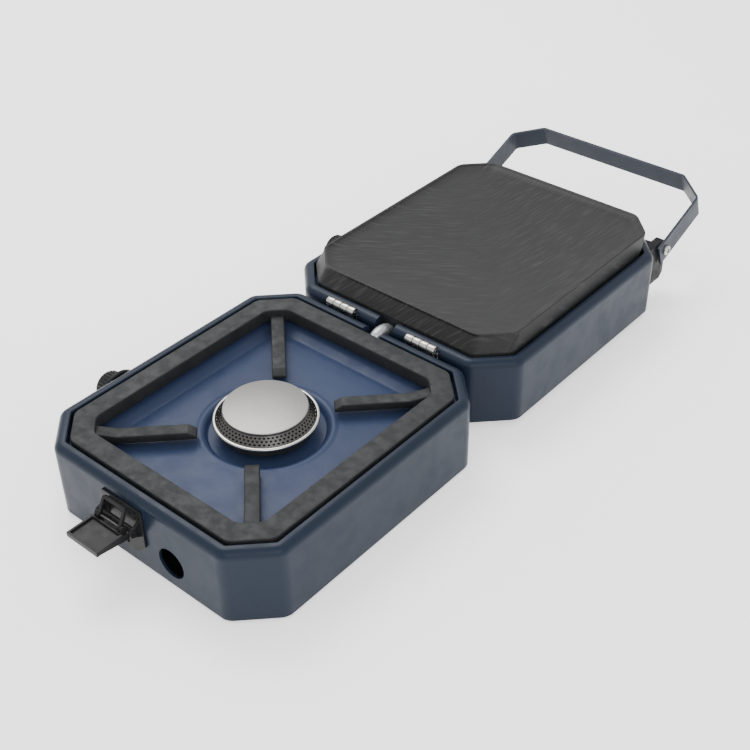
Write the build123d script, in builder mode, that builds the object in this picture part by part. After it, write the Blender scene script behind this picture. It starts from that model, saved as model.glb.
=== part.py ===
"""Folding two-burner camp grill: a base half with a burner and a cast pan support, and a lid half,
opened flat behind it, that carries a second burner under a lift-off griddle plate.

Frame: millimetres, +Z up, +Y from the base half to the lid half, origin on the table under the
middle of the base half. The fold axis runs along X at (HINGE_Y, HINGE_Z).
"""
import os
from math import cos, pi, radians, sin, sqrt, tan

from build123d import *

os.makedirs("parts", exist_ok=True)

# ---------------------------------------------------------------- driving dimensions
WIDTH = 250.0             # each half, along X
DEPTH = 283.0             # each half, along Y
CORNER = 32.0             # leg of the cut corners
CORNER_R = 13.0           # rounding of the upright edges
BASE_SHELL_H = 68.5       # pressed shell of the base half, without its feet
LID_SHELL_H = 63.5        # the lid half is a little shallower
BASE_FOOT_H = 3.0
WALL = 2.5
RIM_W = 10.0              # width of the thick rim around each opening
RIM_H = 12.0
RIM_R = 7.0               # outer rounding of the rim
RIM_INNER_R = 1.5

HINGE_GAP = 5.8           # between the two halves when open
HINGE_RISE = 0.75         # fold axis above the rims
HINGE_X = 45.5            # each hinge's middle
KNUCKLE_L = 8.0
KNUCKLE_N = 4
KNUCKLE_R = 4.1
HINGE_PIN_R = 1.5
LEAF_T = 1.2
LEAF_H = 26.0
FIT_RUN = 0.05            # radial running clearance
FIT_END = 0.5             # end clearance between knuckles

SHEET_T = 1.2             # trays and covers
TRAY_FLANGE_IN = 4.0      # flange's outer edge, inside the case outline
TRAY_SLOPE_TOP = 16.0     # inset where the tray's side starts down
TRAY_SLOPE_FOOT = 39.0    # inset where it meets the floor
TRAY_DEEP = 22.0          # floor below the rim
WELL_R = 50.0
WELL_DEEP = 5.0
WELL_HOLE_R = 20.0

SUPPORT_IN = 12.7         # cast ring's outer edge, inside the case outline
SUPPORT_W = 18.3
SUPPORT_PROUD = 0.5       # ring's top above the rim
SUPPORT_SKIN = 3.2
ARM_W = 12.0
ARM_TOP = 10.0            # arm's flat top below the rim
ARM_H = 7.5
ARM_ROOT_TOP = 5.5        # arm's root below the rim
ARM_L = 79.0

BURNER_CAP_R = 35.4
BURNER_CAP_DROP = 1.0     # disc's top below the rim
BURNER_FLANGE_R = 44.0
BURNER_FLANGE_DROP = 11.5
NECK_R = 12.0
NECK_FOOT_Z = 22.0
MIXER_R = 8.0
MIXER_WALL = 1.4
MIXER_Z = 30.0

KNOB_Y = -46.0            # both valves, from the middle of their half
KNOB_Z = 49.0
KNOB_FLANGE_R = 20.5
KNOB_FLANGE_T = 4.0
KNOB_GRIP_R = 14.0
KNOB_L = 20.0
KNOB_GAP = 1.5            # knob off the wall
SPINDLE_R = 3.0
VALVE_L = 20.0
VALVE_W = 16.0
VALVE_TOP_Z = 54.0
VALVE_FOOT_Z = 22.0

PIPE_R = 3.0
PIPE_Z = 36.0
PIPE_BEND = 12.0
INLET_X = 36.5
INLET_Z = 26.0
INLET_HOLE_R = 13.5
INLET_R = 12.0
INLET_BORE_R = 8.0
INLET_BORE_L = 15.0
INLET_L = 20.0
INLET_SET_BACK = 14.0       # connector's mouth behind the front wall's face
TEE_SIZE = (20.0, 14.0, 24.0)

HOSE_R = 6.0
HOSE_PEAK = 7.5           # hose's centreline below the rim, over the hinge
HOSE_BEND = 10.0
HOSE_SLOPE = 60.0
HOSE_LOW_BEND = 16.0
HOSE_LOW_Z = 36.0
HOSE_REACH_MAX = 58.0     # from the fold axis to each fitting, where the case is deep enough
HOSE_SLOT_W = 20.0
HOSE_SLOT_H = 20.0
FITTING = 16.0
FERRULE_L = 12.0
FERRULE_R = 7.2

LATCH_X = -12.0
LATCH_PLATE_W = 44.0
LATCH_PLATE_H = 46.0
LATCH_PLATE_T = 2.0
LATCH_PLATE_TOP = 62.0
LATCH_POINT = 11.0        # cut corners at the plate's foot
LATCH_PIN_Z = 46.0
LATCH_PIN_OUT = 8.0       # lever's pin off the wall
LATCH_PIN_R = 1.5
LATCH_EAR_R = 4.5
LATCH_EAR_T = 2.5
LEVER_W = 35.0
LEVER_L = 33.5
LEVER_T = 2.4
LEVER_HUB_R = 3.0
LEVER_EDGE = 1.8          # raised border of the lever
LINK_OUT = 6.0            # loop's pin beyond the lever's pin
LINK_UP = 4.8             # and above it
LINK_PIN_R = 1.2
LINK_LUG_R = 2.4
LOOP_W = 26.0
LOOP_L = 15.0
LOOP_ROD = 2.6
LOOP_LEAN = 28.0          # degrees towards the wall
CATCH_W = 26.0
CATCH_TOP_Z = 80.0        # tongue above the lid's rim, below the base's rim once folded over
CATCH_FOOT_Z = 48.0
CATCH_LIP = 5.0

HANDLE_HALF = 112.0       # middle of an arm from the middle of the lid
HANDLE_REACH = 85.0
HANDLE_ARM = 65.0         # straight part of an arm
HANDLE_TOP_HALF = 85.0
HANDLE_W = 22.0
HANDLE_T = 2.5
HANDLE_BEND = 7.0
HANDLE_TILT = 69.0        # degrees from upright at rest
HANDLE_OUT = 13.0         # pivot off the lid's far wall
HANDLE_PIVOT_Z = 50.7
HANDLE_SCREW_R = 2.5
BRACKET_T = 9.0
BRACKET_H = 44.0
BRACKET_BASE_T = 3.0
BRACKET_L = 26.0          # foot of the bracket along the wall

GRIDDLE_W = 222.0
GRIDDLE_FOOT_IN = 11.5    # skirt's foot inside the lid's outline, just within the rim
GRIDDLE_LEAN = 10.0       # lip set towards the far side, past the foot
GRIDDLE_CORNER = 25.0
GRIDDLE_H = 15.0
GRIDDLE_LIP_H = 3.5
GRIDDLE_LIP_W = 3.0
GRIDDLE_T = 5.0
GRIDDLE_SKIRT = 5.0

FOOT_R = 9.0
FOOT_IN = 30.0
SCREW_R = 1.7
SCREW_HEAD_R = 3.4
SCREW_HEAD_H = 2.0
BOSS_R = 5.0
BOSS_OFF = 7.0            # boss centre off the cut corner's outer face

# ---------------------------------------------------------------- derived places
RIM_Z = BASE_FOOT_H + BASE_SHELL_H
BASE_Z = BASE_FOOT_H
LID_Z = RIM_Z - LID_SHELL_H
HINGE_Y = DEPTH / 2 + HINGE_GAP / 2
HINGE_Z = RIM_Z + HINGE_RISE
BASE_Y = 0.0
LID_Y = 2 * HINGE_Y
OCTAGON = 2 - sqrt(2)
FLANGE_TOP_Z = RIM_Z - RIM_H
FLOOR_Z = RIM_Z - TRAY_DEEP
SUPPORT_Z = FLANGE_TOP_Z
SUPPORT_TOP_Z = RIM_Z + SUPPORT_PROUD
FLANGE_Z = RIM_Z - BURNER_FLANGE_DROP
BOSS_TOP_Z = FLANGE_TOP_Z - 6.0
# the lid's gas pipe needs room for its bend between the hose's fitting and the valve
PIPE_ROOM = DEPTH / 2 + HINGE_GAP / 2 + KNOB_Y - VALVE_W / 2 - 1.2 * PIPE_BEND - FITTING / 2
HOSE_REACH = min(HOSE_REACH_MAX, PIPE_ROOM)


def outline(middle_y, z, inset=0.0):
    """The case's outline, a rectangle with cut corners, moved in by inset."""
    with BuildSketch(Plane((0, middle_y, z))) as shape:
        Rectangle(WIDTH - 2 * inset, DEPTH - 2 * inset)
        chamfer(shape.vertices(), CORNER - inset * OCTAGON)
        fillet(shape.vertices(), max(CORNER_R - inset, 2.0))
    return shape.sketch


def finish(piece, name):
    """Label a finished piece and write its file."""
    piece.label = name
    export_step(piece, f"parts/{name}.step")
    return piece


def across(x, y, z):
    """A plane that looks along +X, with its own x along Y and its own y along Z."""
    return Plane((x, y, z), x_dir=(0, 1, 0), z_dir=(1, 0, 0))


def corner_points(offset):
    """The four points that stand offset inside the middles of the cut corners."""
    x = WIDTH / 2 - CORNER / 2 - offset / sqrt(2)
    y = DEPTH / 2 - CORNER / 2 - offset / sqrt(2)
    return [(sx * x, sy * y) for sx in (-1, 1) for sy in (-1, 1)]


# ---------------------------------------------------------------- the two cases
def make_case(middle_y, bottom_z, hinge_side):
    """A deep case, open below, with a thick rounded rim; hinge_side is the sign of its hinge wall."""
    height = RIM_Z - bottom_z
    wall_y = middle_y + hinge_side * DEPTH / 2
    with BuildPart() as case:
        extrude(outline(middle_y, bottom_z), amount=height)
        fillet(case.edges().group_by(Axis.Z)[-1], RIM_R)
        extrude(outline(middle_y, bottom_z, WALL), amount=height - RIM_H, mode=Mode.SUBTRACT)
        extrude(outline(middle_y, bottom_z, RIM_W), amount=height, mode=Mode.SUBTRACT)
        fillet(case.faces().sort_by(Axis.Z)[-1].inner_wires()[0].edges(), RIM_INNER_R)
        # corner bosses for the bottom cover's screws
        with BuildSketch(Plane((0, middle_y, bottom_z + SHEET_T))):
            with Locations(*corner_points(BOSS_OFF)):
                Circle(BOSS_R)
        extrude(amount=BOSS_TOP_Z - bottom_z - SHEET_T)
        with BuildSketch(Plane((0, middle_y, bottom_z + SHEET_T))):
            with Locations(*corner_points(BOSS_OFF)):
                Circle(SCREW_R)
        extrude(amount=16.0, mode=Mode.SUBTRACT)
        # round-bottomed slot for the hose
        with BuildSketch(Plane((0, wall_y + 1.0, 0), x_dir=(1, 0, 0), z_dir=(0, -1, 0))):
            with Locations((0, RIM_Z - HOSE_SLOT_H / 2 + HOSE_SLOT_W / 4 + 1.0)):
                SlotOverall(HOSE_SLOT_H + HOSE_SLOT_W / 2 + 2.0, HOSE_SLOT_W, rotation=90)
        extrude(amount=RIM_W + 3.0, both=True, mode=Mode.SUBTRACT)
        # valve spindle's hole
        with BuildSketch(Plane((-WIDTH / 2, middle_y + KNOB_Y, KNOB_Z), z_dir=(-1, 0, 0))):
            Circle(SPINDLE_R + 2.0)
        extrude(amount=WALL + 1.0, both=True, mode=Mode.SUBTRACT)
    return case


with BuildPart() as base_case:
    add(make_case(BASE_Y, BASE_Z, 1).part)
    with BuildSketch(Plane((INLET_X, -DEPTH / 2, INLET_Z), x_dir=(1, 0, 0), z_dir=(0, -1, 0))):
        Circle(INLET_HOLE_R)
    extrude(amount=WALL + 1.0, both=True, mode=Mode.SUBTRACT)
finish(base_case.part, "base_case")
finish(make_case(LID_Y, LID_Z, -1).part, "lid_case")


# ---------------------------------------------------------------- covers, feet and their screws
def make_cover(middle_y, bottom_z):
    """Bottom cover: a flat plate inside the wall, with air slots and four screw holes."""
    with BuildPart() as cover:
        extrude(outline(middle_y, bottom_z, WALL + 0.3), amount=SHEET_T)
        with BuildSketch(Plane((0, middle_y, bottom_z))):
            with Locations(*corner_points(BOSS_OFF)):
                Circle(SCREW_R + 0.3)
            with GridLocations(0, 22, 1, 5):
                SlotOverall(90, 5)
        extrude(amount=SHEET_T, mode=Mode.SUBTRACT)
    return cover


def make_feet(middle_y, bottom_z):
    """Four rubber feet between the table and the cover."""
    with BuildPart() as feet:
        with BuildSketch(Plane((0, middle_y, 0))):
            with GridLocations(WIDTH - 2 * FOOT_IN, DEPTH - 2 * FOOT_IN, 2, 2):
                Circle(FOOT_R)
        extrude(amount=bottom_z)
        chamfer(feet.edges().group_by(Axis.Z)[0], 0.8)
    return feet


def make_cover_screws(middle_y, bottom_z):
    """Four pan-head screws from below, through the cover into the bosses."""
    with BuildPart() as screws:
        with BuildSketch(Plane((0, middle_y, bottom_z - SCREW_HEAD_H))):
            with Locations(*corner_points(BOSS_OFF)):
                Circle(SCREW_HEAD_R)
        extrude(amount=SCREW_HEAD_H)
        fillet(screws.edges().group_by(Axis.Z)[0], 0.9)
        with BuildSketch(Plane((0, middle_y, bottom_z))):
            with Locations(*corner_points(BOSS_OFF)):
                Circle(SCREW_R)
        extrude(amount=12.0)
    return screws


# ---------------------------------------------------------------- trays
def make_tray(middle_y):
    """Pressed tray: flange under the rim, sloping sides, flat floor and a sunk well for the burner."""
    hinge_side = 1 if middle_y < HINGE_Y else -1
    with BuildPart() as tray:
        extrude(outline(middle_y, FLANGE_TOP_Z - SHEET_T, TRAY_FLANGE_IN), amount=SHEET_T)
        loft([outline(middle_y, FLANGE_TOP_Z - SHEET_T, TRAY_SLOPE_TOP),
              outline(middle_y, FLOOR_Z - SHEET_T, TRAY_SLOPE_FOOT)], ruled=True)
        with BuildSketch(Plane((0, middle_y, FLOOR_Z - SHEET_T))):
            Circle(WELL_R + SHEET_T)
        extrude(amount=-WELL_DEEP)
        loft([outline(middle_y, FLANGE_TOP_Z, TRAY_SLOPE_TOP),
              outline(middle_y, FLOOR_Z, TRAY_SLOPE_FOOT)], ruled=True, mode=Mode.SUBTRACT)
        with BuildSketch(Plane((0, middle_y, FLOOR_Z))):
            Circle(WELL_R)
        extrude(amount=-WELL_DEEP, mode=Mode.SUBTRACT)
        with BuildSketch(Plane((0, middle_y, FLOOR_Z))):
            Circle(WELL_HOLE_R)
        extrude(amount=-WELL_DEEP - 2 * SHEET_T, mode=Mode.SUBTRACT)
        # room for the hose where it dips under the rim
        with BuildSketch(Plane((0, middle_y + hinge_side * DEPTH / 2, FLANGE_TOP_Z))):
            Rectangle(HOSE_SLOT_W, 2 * (TRAY_SLOPE_TOP - 0.5))
        extrude(amount=-2 * SHEET_T, mode=Mode.SUBTRACT)
    return tray


# ---------------------------------------------------------------- cast pan supports
def make_support(middle_y):
    """Cast ring, channelled below, with four arms that dip towards the burner."""
    inner = SUPPORT_IN + SUPPORT_W
    with BuildPart() as support:
        extrude(outline(middle_y, SUPPORT_Z, SUPPORT_IN), amount=SUPPORT_TOP_Z - SUPPORT_Z)
        extrude(outline(middle_y, SUPPORT_Z, inner), amount=SUPPORT_TOP_Z - SUPPORT_Z, mode=Mode.SUBTRACT)
        top = support.faces().sort_by(Axis.Z)[-1]
        fillet(top.edges(), 1.4)
        with BuildSketch(Plane((0, 0, SUPPORT_Z))) as channel:
            add(outline(middle_y, 0, SUPPORT_IN + SUPPORT_SKIN))
            add(outline(middle_y, 0, inner - SUPPORT_SKIN), mode=Mode.SUBTRACT)
        extrude(amount=SUPPORT_TOP_Z - SUPPORT_Z - SUPPORT_SKIN, mode=Mode.SUBTRACT)
        root_x = WIDTH / 2 - inner - (CORNER - inner * OCTAGON) / 2
        root_y = DEPTH / 2 - inner - (CORNER - inner * OCTAGON) / 2
        for sx in (-1, 1):
            for sy in (-1, 1):
                inward = (-sx / sqrt(2), -sy / sqrt(2), 0)
                across = (inward[1], -inward[0], 0)
                side = Plane((sx * root_x, middle_y + sy * root_y, RIM_Z), x_dir=inward, z_dir=across)
                with BuildSketch(side):
                    with BuildLine():
                        Polyline(
                            (-SUPPORT_SKIN / 2, -ARM_TOP - ARM_H + 3.0),
                            (-SUPPORT_SKIN / 2, -ARM_ROOT_TOP),
                            (16.0, -ARM_TOP),
                            (ARM_L - 7.0, -ARM_TOP),
                            (ARM_L, -ARM_TOP - 4.5),
                            (ARM_L, -ARM_TOP - ARM_H),
                            (9.0, -ARM_TOP - ARM_H),
                            close=True,
                        )
                    make_face()
                extrude(amount=ARM_W / 2, both=True)
    return support


# ---------------------------------------------------------------- burners
def make_burner_cap(middle_y):
    """Flat stainless disc with a turned-down edge."""
    top = RIM_Z - BURNER_CAP_DROP
    with BuildPart() as cap:
        with BuildSketch(Plane.XZ.offset(-middle_y)):
            with BuildLine():
                Polyline((0, top), (BURNER_CAP_R - 0.6, top), (BURNER_CAP_R, top - 0.6),
                         (BURNER_CAP_R, top - 2.4), (BURNER_CAP_R - 1.0, top - 2.4),
                         (BURNER_CAP_R - 1.0, top - 1.0), (0, top - 1.0), close=True)
            make_face()
        revolve(axis=Axis((0, middle_y, 0), (0, 0, 1)))
    return cap


def make_burner_skirt(middle_y):
    """Cone of perforated sheet between the disc and the flange ring."""
    top = RIM_Z - BURNER_CAP_DROP - 2.4
    with BuildPart() as skirt:
        with BuildSketch(Plane.XZ.offset(-middle_y)):
            with BuildLine():
                Polyline((BURNER_CAP_R - 0.8, top), (BURNER_CAP_R, top),
                         (BURNER_FLANGE_R - 2.4, FLANGE_Z + 1.5),
                         (BURNER_FLANGE_R - 3.2, FLANGE_Z + 1.5), close=True)
            make_face()
        revolve(axis=Axis((0, middle_y, 0), (0, 0, 1)))
    return skirt


def make_burner_ring(middle_y):
    """Rolled bright ring on which the skirt stands."""
    with BuildPart() as ring:
        with BuildSketch(Plane.XZ.offset(-middle_y)) as section:
            with Locations((BURNER_FLANGE_R - 3.0, FLANGE_Z)):
                Rectangle(6.0, 3.0)
            fillet(section.vertices().group_by(Axis.X)[-1], 1.4)
        revolve(axis=Axis((0, middle_y, 0), (0, 0, 1)))
    return ring


def make_burner_cup(middle_y):
    """Cast bowl and neck below the ring."""
    lip = FLANGE_Z - 1.5
    with BuildPart() as cup:
        with BuildSketch(Plane.XZ.offset(-middle_y)):
            with BuildLine():
                Polyline((0, NECK_FOOT_Z), (NECK_R, NECK_FOOT_Z), (NECK_R, 44.0),
                         (30.0, 46.0), (40.5, 52.0), (40.5, lip), (38.0, lip), (38.0, 53.5), (29.0, 48.5), (NECK_R - 2.5, 46.5),
                         (NECK_R - 2.5, NECK_FOOT_Z + 2.5), (0, NECK_FOOT_Z + 2.5), close=True)
            make_face()
        revolve(axis=Axis((0, middle_y, 0), (0, 0, 1)))
        with BuildSketch(Plane((0, middle_y, MIXER_Z), x_dir=(0, 1, 0), z_dir=(-1, 0, 0))):
            Circle(MIXER_R - MIXER_WALL)
        extrude(amount=NECK_R + 1.0, mode=Mode.SUBTRACT)
    return cup


def mixer_points(middle_y):
    """Corners of the mixer tube's route, from the jet to the burner's neck."""
    return [(-WIDTH / 2 + WALL + VALVE_L + 9.0, middle_y + KNOB_Y, MIXER_Z),
            (-52.0, middle_y + KNOB_Y, MIXER_Z), (-34.0, middle_y, MIXER_Z),
            (-NECK_R + 0.4, middle_y, MIXER_Z)]


def make_mixer(middle_y):
    """Bent tube that mixes gas with air and feeds the burner's neck."""
    with BuildPart() as mixer:
        with BuildLine() as route:
            FilletPolyline(*mixer_points(middle_y), radius=14.0)
        with BuildSketch(Plane(route.line @ 0, z_dir=route.line % 0)):
            Circle(MIXER_R)
            Circle(MIXER_R - MIXER_WALL, mode=Mode.SUBTRACT)
        sweep()
        with BuildSketch(Plane((0, middle_y, MIXER_Z - 10))):
            Circle(NECK_R)
        extrude(amount=20.0, mode=Mode.SUBTRACT)
    return mixer


# ---------------------------------------------------------------- valves, spindles and knobs
def make_valve(middle_y):
    """Block with the spindle's bore and a jet that points into the mixer tube."""
    x = -WIDTH / 2 + WALL
    with BuildPart() as valve:
        with BuildSketch(Plane((x + 0.5, middle_y + KNOB_Y, 0), x_dir=(0, 1, 0), z_dir=(1, 0, 0))):
            with Locations((0, (VALVE_TOP_Z + VALVE_FOOT_Z) / 2)):
                RectangleRounded(VALVE_W, VALVE_TOP_Z - VALVE_FOOT_Z, 2.0)
        extrude(amount=VALVE_L)
        with BuildSketch(Plane((x + 0.5, middle_y + KNOB_Y, KNOB_Z), x_dir=(0, 1, 0), z_dir=(1, 0, 0))):
            Circle(SPINDLE_R + FIT_RUN)
        extrude(amount=14.0, mode=Mode.SUBTRACT)
    return valve


def make_jet(middle_y):
    """Brass jet screwed into the valve."""
    x = -WIDTH / 2 + WALL + 0.5 + VALVE_L
    with BuildPart() as jet:
        with BuildSketch(Plane((x, middle_y + KNOB_Y, MIXER_Z), x_dir=(0, 1, 0), z_dir=(1, 0, 0))):
            RegularPolygon(4.6, 6)
        extrude(amount=4.0)
        with BuildSketch(Plane((x + 4.0, middle_y + KNOB_Y, MIXER_Z), x_dir=(0, 1, 0), z_dir=(1, 0, 0))):
            Circle(3.0)
        extrude(amount=8.0, taper=8)
    return jet


def make_spindle(middle_y):
    """Valve spindle, turned by the knob."""
    start = -WIDTH / 2 + WALL + 0.5 + 13.5
    end = -WIDTH / 2 - KNOB_GAP - KNOB_L + 6.0
    with BuildPart() as spindle:
        with BuildSketch(Plane((start, middle_y + KNOB_Y, KNOB_Z), x_dir=(0, 1, 0), z_dir=(-1, 0, 0))):
            Circle(SPINDLE_R)
        extrude(amount=start - end)
    return spindle


def make_knob(middle_y):
    """Round knob: a thin flange next to the wall and a raised grip with a ridge across it."""
    face_x = -WIDTH / 2 - KNOB_GAP
    axis = Axis((0, middle_y + KNOB_Y, KNOB_Z), (1, 0, 0))
    with BuildPart() as knob:
        with BuildSketch(Plane((0, middle_y + KNOB_Y, KNOB_Z), x_dir=(1, 0, 0), z_dir=(0, -1, 0))):
            with BuildLine():
                Polyline((face_x, 0), (face_x, KNOB_FLANGE_R), (face_x - KNOB_FLANGE_T + 1, KNOB_FLANGE_R),
                         (face_x - KNOB_FLANGE_T, KNOB_FLANGE_R - 1), (face_x - KNOB_FLANGE_T, KNOB_GRIP_R),
                         (face_x - KNOB_L + 1.5, KNOB_GRIP_R - 1.4), (face_x - KNOB_L, KNOB_GRIP_R - 3.0),
                         (face_x - KNOB_L, 0), close=True)
            make_face()
        revolve(axis=axis)
        with BuildSketch(Plane((face_x, middle_y + KNOB_Y, KNOB_Z), x_dir=(0, 1, 0), z_dir=(-1, 0, 0))):
            Circle(SPINDLE_R)
        extrude(amount=KNOB_L - 6.0, mode=Mode.SUBTRACT)
    return knob


# ---------------------------------------------------------------- write both halves' like pieces
HALVES = {"base": (BASE_Y, BASE_Z), "lid": (LID_Y, LID_Z)}
for half, (middle_y, bottom_z) in HALVES.items():
    finish(make_cover(middle_y, bottom_z).part, f"{half}_bottom_cover")
    finish(make_feet(middle_y, bottom_z).part, f"{half}_feet")
    finish(make_cover_screws(middle_y, bottom_z).part, f"{half}_cover_screws")
    finish(make_tray(middle_y).part, f"{half}_tray")
    finish(make_support(middle_y).part, f"{half}_pan_support")
    finish(make_burner_cap(middle_y).part, f"{half}_burner_cap")
    finish(make_burner_skirt(middle_y).part, f"{half}_burner_skirt")
    finish(make_burner_ring(middle_y).part, f"{half}_burner_ring")
    finish(make_burner_cup(middle_y).part, f"{half}_burner_cup")
    finish(make_mixer(middle_y).part, f"{half}_mixer_tube")
    finish(make_valve(middle_y).part, f"{half}_gas_valve")
    finish(make_jet(middle_y).part, f"{half}_gas_jet")
    finish(make_spindle(middle_y).part, f"{half}_valve_spindle")
    finish(make_knob(middle_y).part, f"{half}_knob")


# ---------------------------------------------------------------- gas line
with BuildPart() as inlet_connector:
    start = -DEPTH / 2 + INLET_SET_BACK
    with BuildSketch(Plane((INLET_X, start, INLET_Z), x_dir=(1, 0, 0), z_dir=(0, 1, 0))):
        Circle(INLET_R)
    extrude(amount=INLET_L)
    with BuildSketch(Plane((INLET_X, start, INLET_Z), x_dir=(1, 0, 0), z_dir=(0, 1, 0))):
        Circle(INLET_BORE_R)
    extrude(amount=INLET_BORE_L, mode=Mode.SUBTRACT)
    chamfer(inlet_connector.edges().group_by(Axis.Y)[0].sort_by(SortBy.RADIUS)[0], 1.0)
finish(inlet_connector.part, "inlet_connector")

TEE_Y = -DEPTH / 2 + INLET_SET_BACK + INLET_L + TEE_SIZE[1] / 2
TEE_Z = (INLET_Z + PIPE_Z) / 2 - 1.0
with BuildPart() as gas_tee:
    with BuildSketch(Plane((INLET_X, TEE_Y, TEE_Z - TEE_SIZE[2] / 2))):
        Rectangle(TEE_SIZE[0], TEE_SIZE[1])
    extrude(amount=TEE_SIZE[2])
    chamfer(gas_tee.edges().filter_by(Axis.Z), 1.5)
finish(gas_tee.part, "gas_tee")


def make_pipe(points):
    """Copper pipe along a level route."""
    with BuildPart() as pipe:
        with BuildLine() as route:
            FilletPolyline(*points, radius=PIPE_BEND)
        with BuildSketch(Plane(route.line @ 0, z_dir=route.line % 0)):
            Circle(PIPE_R)
        sweep()
    return pipe


VALVE_MID_X = -WIDTH / 2 + WALL + 0.5 + VALVE_L / 2
FITTING_IN = HOSE_REACH + FITTING / 2
base_feed = make_pipe([
    (INLET_X - TEE_SIZE[0] / 2, TEE_Y, PIPE_Z), (VALVE_MID_X, TEE_Y, PIPE_Z),
    (VALVE_MID_X, KNOB_Y - VALVE_W / 2, PIPE_Z)])
finish(base_feed.part, "base_gas_pipe")
cross_feed = make_pipe([
    (INLET_X, TEE_Y + TEE_SIZE[1] / 2, PIPE_Z), (INLET_X, HINGE_Y - FITTING_IN, PIPE_Z),
    (FITTING / 2, HINGE_Y - FITTING_IN, PIPE_Z)])
finish(cross_feed.part, "hose_feed_pipe")
lid_feed = make_pipe([
    (-FITTING / 2, HINGE_Y + FITTING_IN, PIPE_Z), (VALVE_MID_X, HINGE_Y + FITTING_IN, PIPE_Z),
    (VALVE_MID_X, LID_Y + KNOB_Y - VALVE_W / 2, PIPE_Z)])
finish(lid_feed.part, "lid_gas_pipe")


def make_fitting(side):
    """Brass elbow block at the end of the hose."""
    with BuildPart() as fitting:
        with BuildSketch(Plane((0, HINGE_Y + side * FITTING_IN, HOSE_LOW_Z - FITTING / 2))):
            Rectangle(FITTING, FITTING)
        extrude(amount=FITTING)
        chamfer(fitting.edges().filter_by(Axis.Z), 1.5)
    return fitting


def make_ferrule(side):
    """Crimped sleeve round the hose where it meets its fitting."""
    start = HINGE_Y + side * HOSE_REACH
    with BuildPart() as ferrule:
        with BuildSketch(Plane((0, start, HOSE_LOW_Z), x_dir=(1, 0, 0), z_dir=(0, -side, 0))):
            Circle(FERRULE_R)
            Circle(HOSE_R, mode=Mode.SUBTRACT)
        extrude(amount=FERRULE_L)
    return ferrule


finish(make_fitting(-1).part, "base_hose_fitting")
finish(make_fitting(1).part, "lid_hose_fitting")
finish(make_ferrule(-1).part, "base_hose_ferrule")
finish(make_ferrule(1).part, "lid_hose_ferrule")

HOSE_TOP_CORNER_Z = RIM_Z - HOSE_PEAK + HOSE_BEND * (1 / cos(radians(HOSE_SLOPE)) - 1)
HOSE_FOOT_OUT = (HOSE_TOP_CORNER_Z - HOSE_LOW_Z) / tan(radians(HOSE_SLOPE))
HOSE_POINTS = [
    (0, HINGE_Y - HOSE_REACH, HOSE_LOW_Z), (0, HINGE_Y - HOSE_FOOT_OUT, HOSE_LOW_Z),
    (0, HINGE_Y, HOSE_TOP_CORNER_Z),
    (0, HINGE_Y + HOSE_FOOT_OUT, HOSE_LOW_Z), (0, HINGE_Y + HOSE_REACH, HOSE_LOW_Z)]
with BuildPart() as gas_hose:
    with BuildLine() as hose_route:
        FilletPolyline(*HOSE_POINTS, radius=[HOSE_LOW_BEND, HOSE_BEND, HOSE_LOW_BEND])
    with BuildSketch(Plane(hose_route.line @ 0, z_dir=hose_route.line % 0)):
        Circle(HOSE_R)
    sweep()
finish(gas_hose.part, "gas_hose")
HOSE_LENGTH = sum(edge.length for edge in hose_route.edges())
HOSE_SHARE = gas_hose.part.volume / (HOSE_LENGTH * pi * HOSE_R ** 2)
print("hose length", round(HOSE_LENGTH, 1), "share", round(HOSE_SHARE, 4))


# ---------------------------------------------------------------- hinges
def knuckle_starts(first):
    """Left ends of a leaf's knuckles on both hinges; first is 0 or 1."""
    starts = []
    for middle in (-HINGE_X, HINGE_X):
        left = middle - KNUCKLE_N * KNUCKLE_L / 2
        starts += [left + k * KNUCKLE_L for k in range(first, KNUCKLE_N, 2)]
    return starts


def make_leaves(side, first):
    """A pair of leaves: plates on the case's hinge wall and their knuckles."""
    wall_y = HINGE_Y + side * HINGE_GAP / 2
    leaf_mid_y = wall_y - side * LEAF_T / 2
    length = KNUCKLE_N * KNUCKLE_L
    with BuildPart() as leaves:
        with BuildSketch(Plane((0, leaf_mid_y, HINGE_Z - LEAF_H))):
            with Locations((-HINGE_X, 0), (HINGE_X, 0)):
                Rectangle(length, LEAF_T)
        extrude(amount=LEAF_H)
        # the other leaf's knuckles turn past this one
        with BuildSketch(Plane((0, HINGE_Y, HINGE_Z), x_dir=(0, 1, 0), z_dir=(1, 0, 0))):
            Circle(KNUCKLE_R + 0.35)
        extrude(amount=WIDTH / 2, both=True, mode=Mode.SUBTRACT)
        for start in knuckle_starts(first):
            with BuildSketch(across(start + FIT_END / 2, HINGE_Y, HINGE_Z)):
                Circle(KNUCKLE_R)
                with Locations((side * (HINGE_GAP / 2 - LEAF_T / 2), -KNUCKLE_R / 2 - 1.0)):
                    Rectangle(LEAF_T, KNUCKLE_R + 2.0)
            extrude(amount=KNUCKLE_L - FIT_END)
        with BuildSketch(Plane((0, HINGE_Y, HINGE_Z), x_dir=(0, 1, 0), z_dir=(1, 0, 0))):
            Circle(HINGE_PIN_R + (FIT_RUN if side > 0 else 0.0))
        extrude(amount=WIDTH / 2, both=True, mode=Mode.SUBTRACT)
    return leaves


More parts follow.
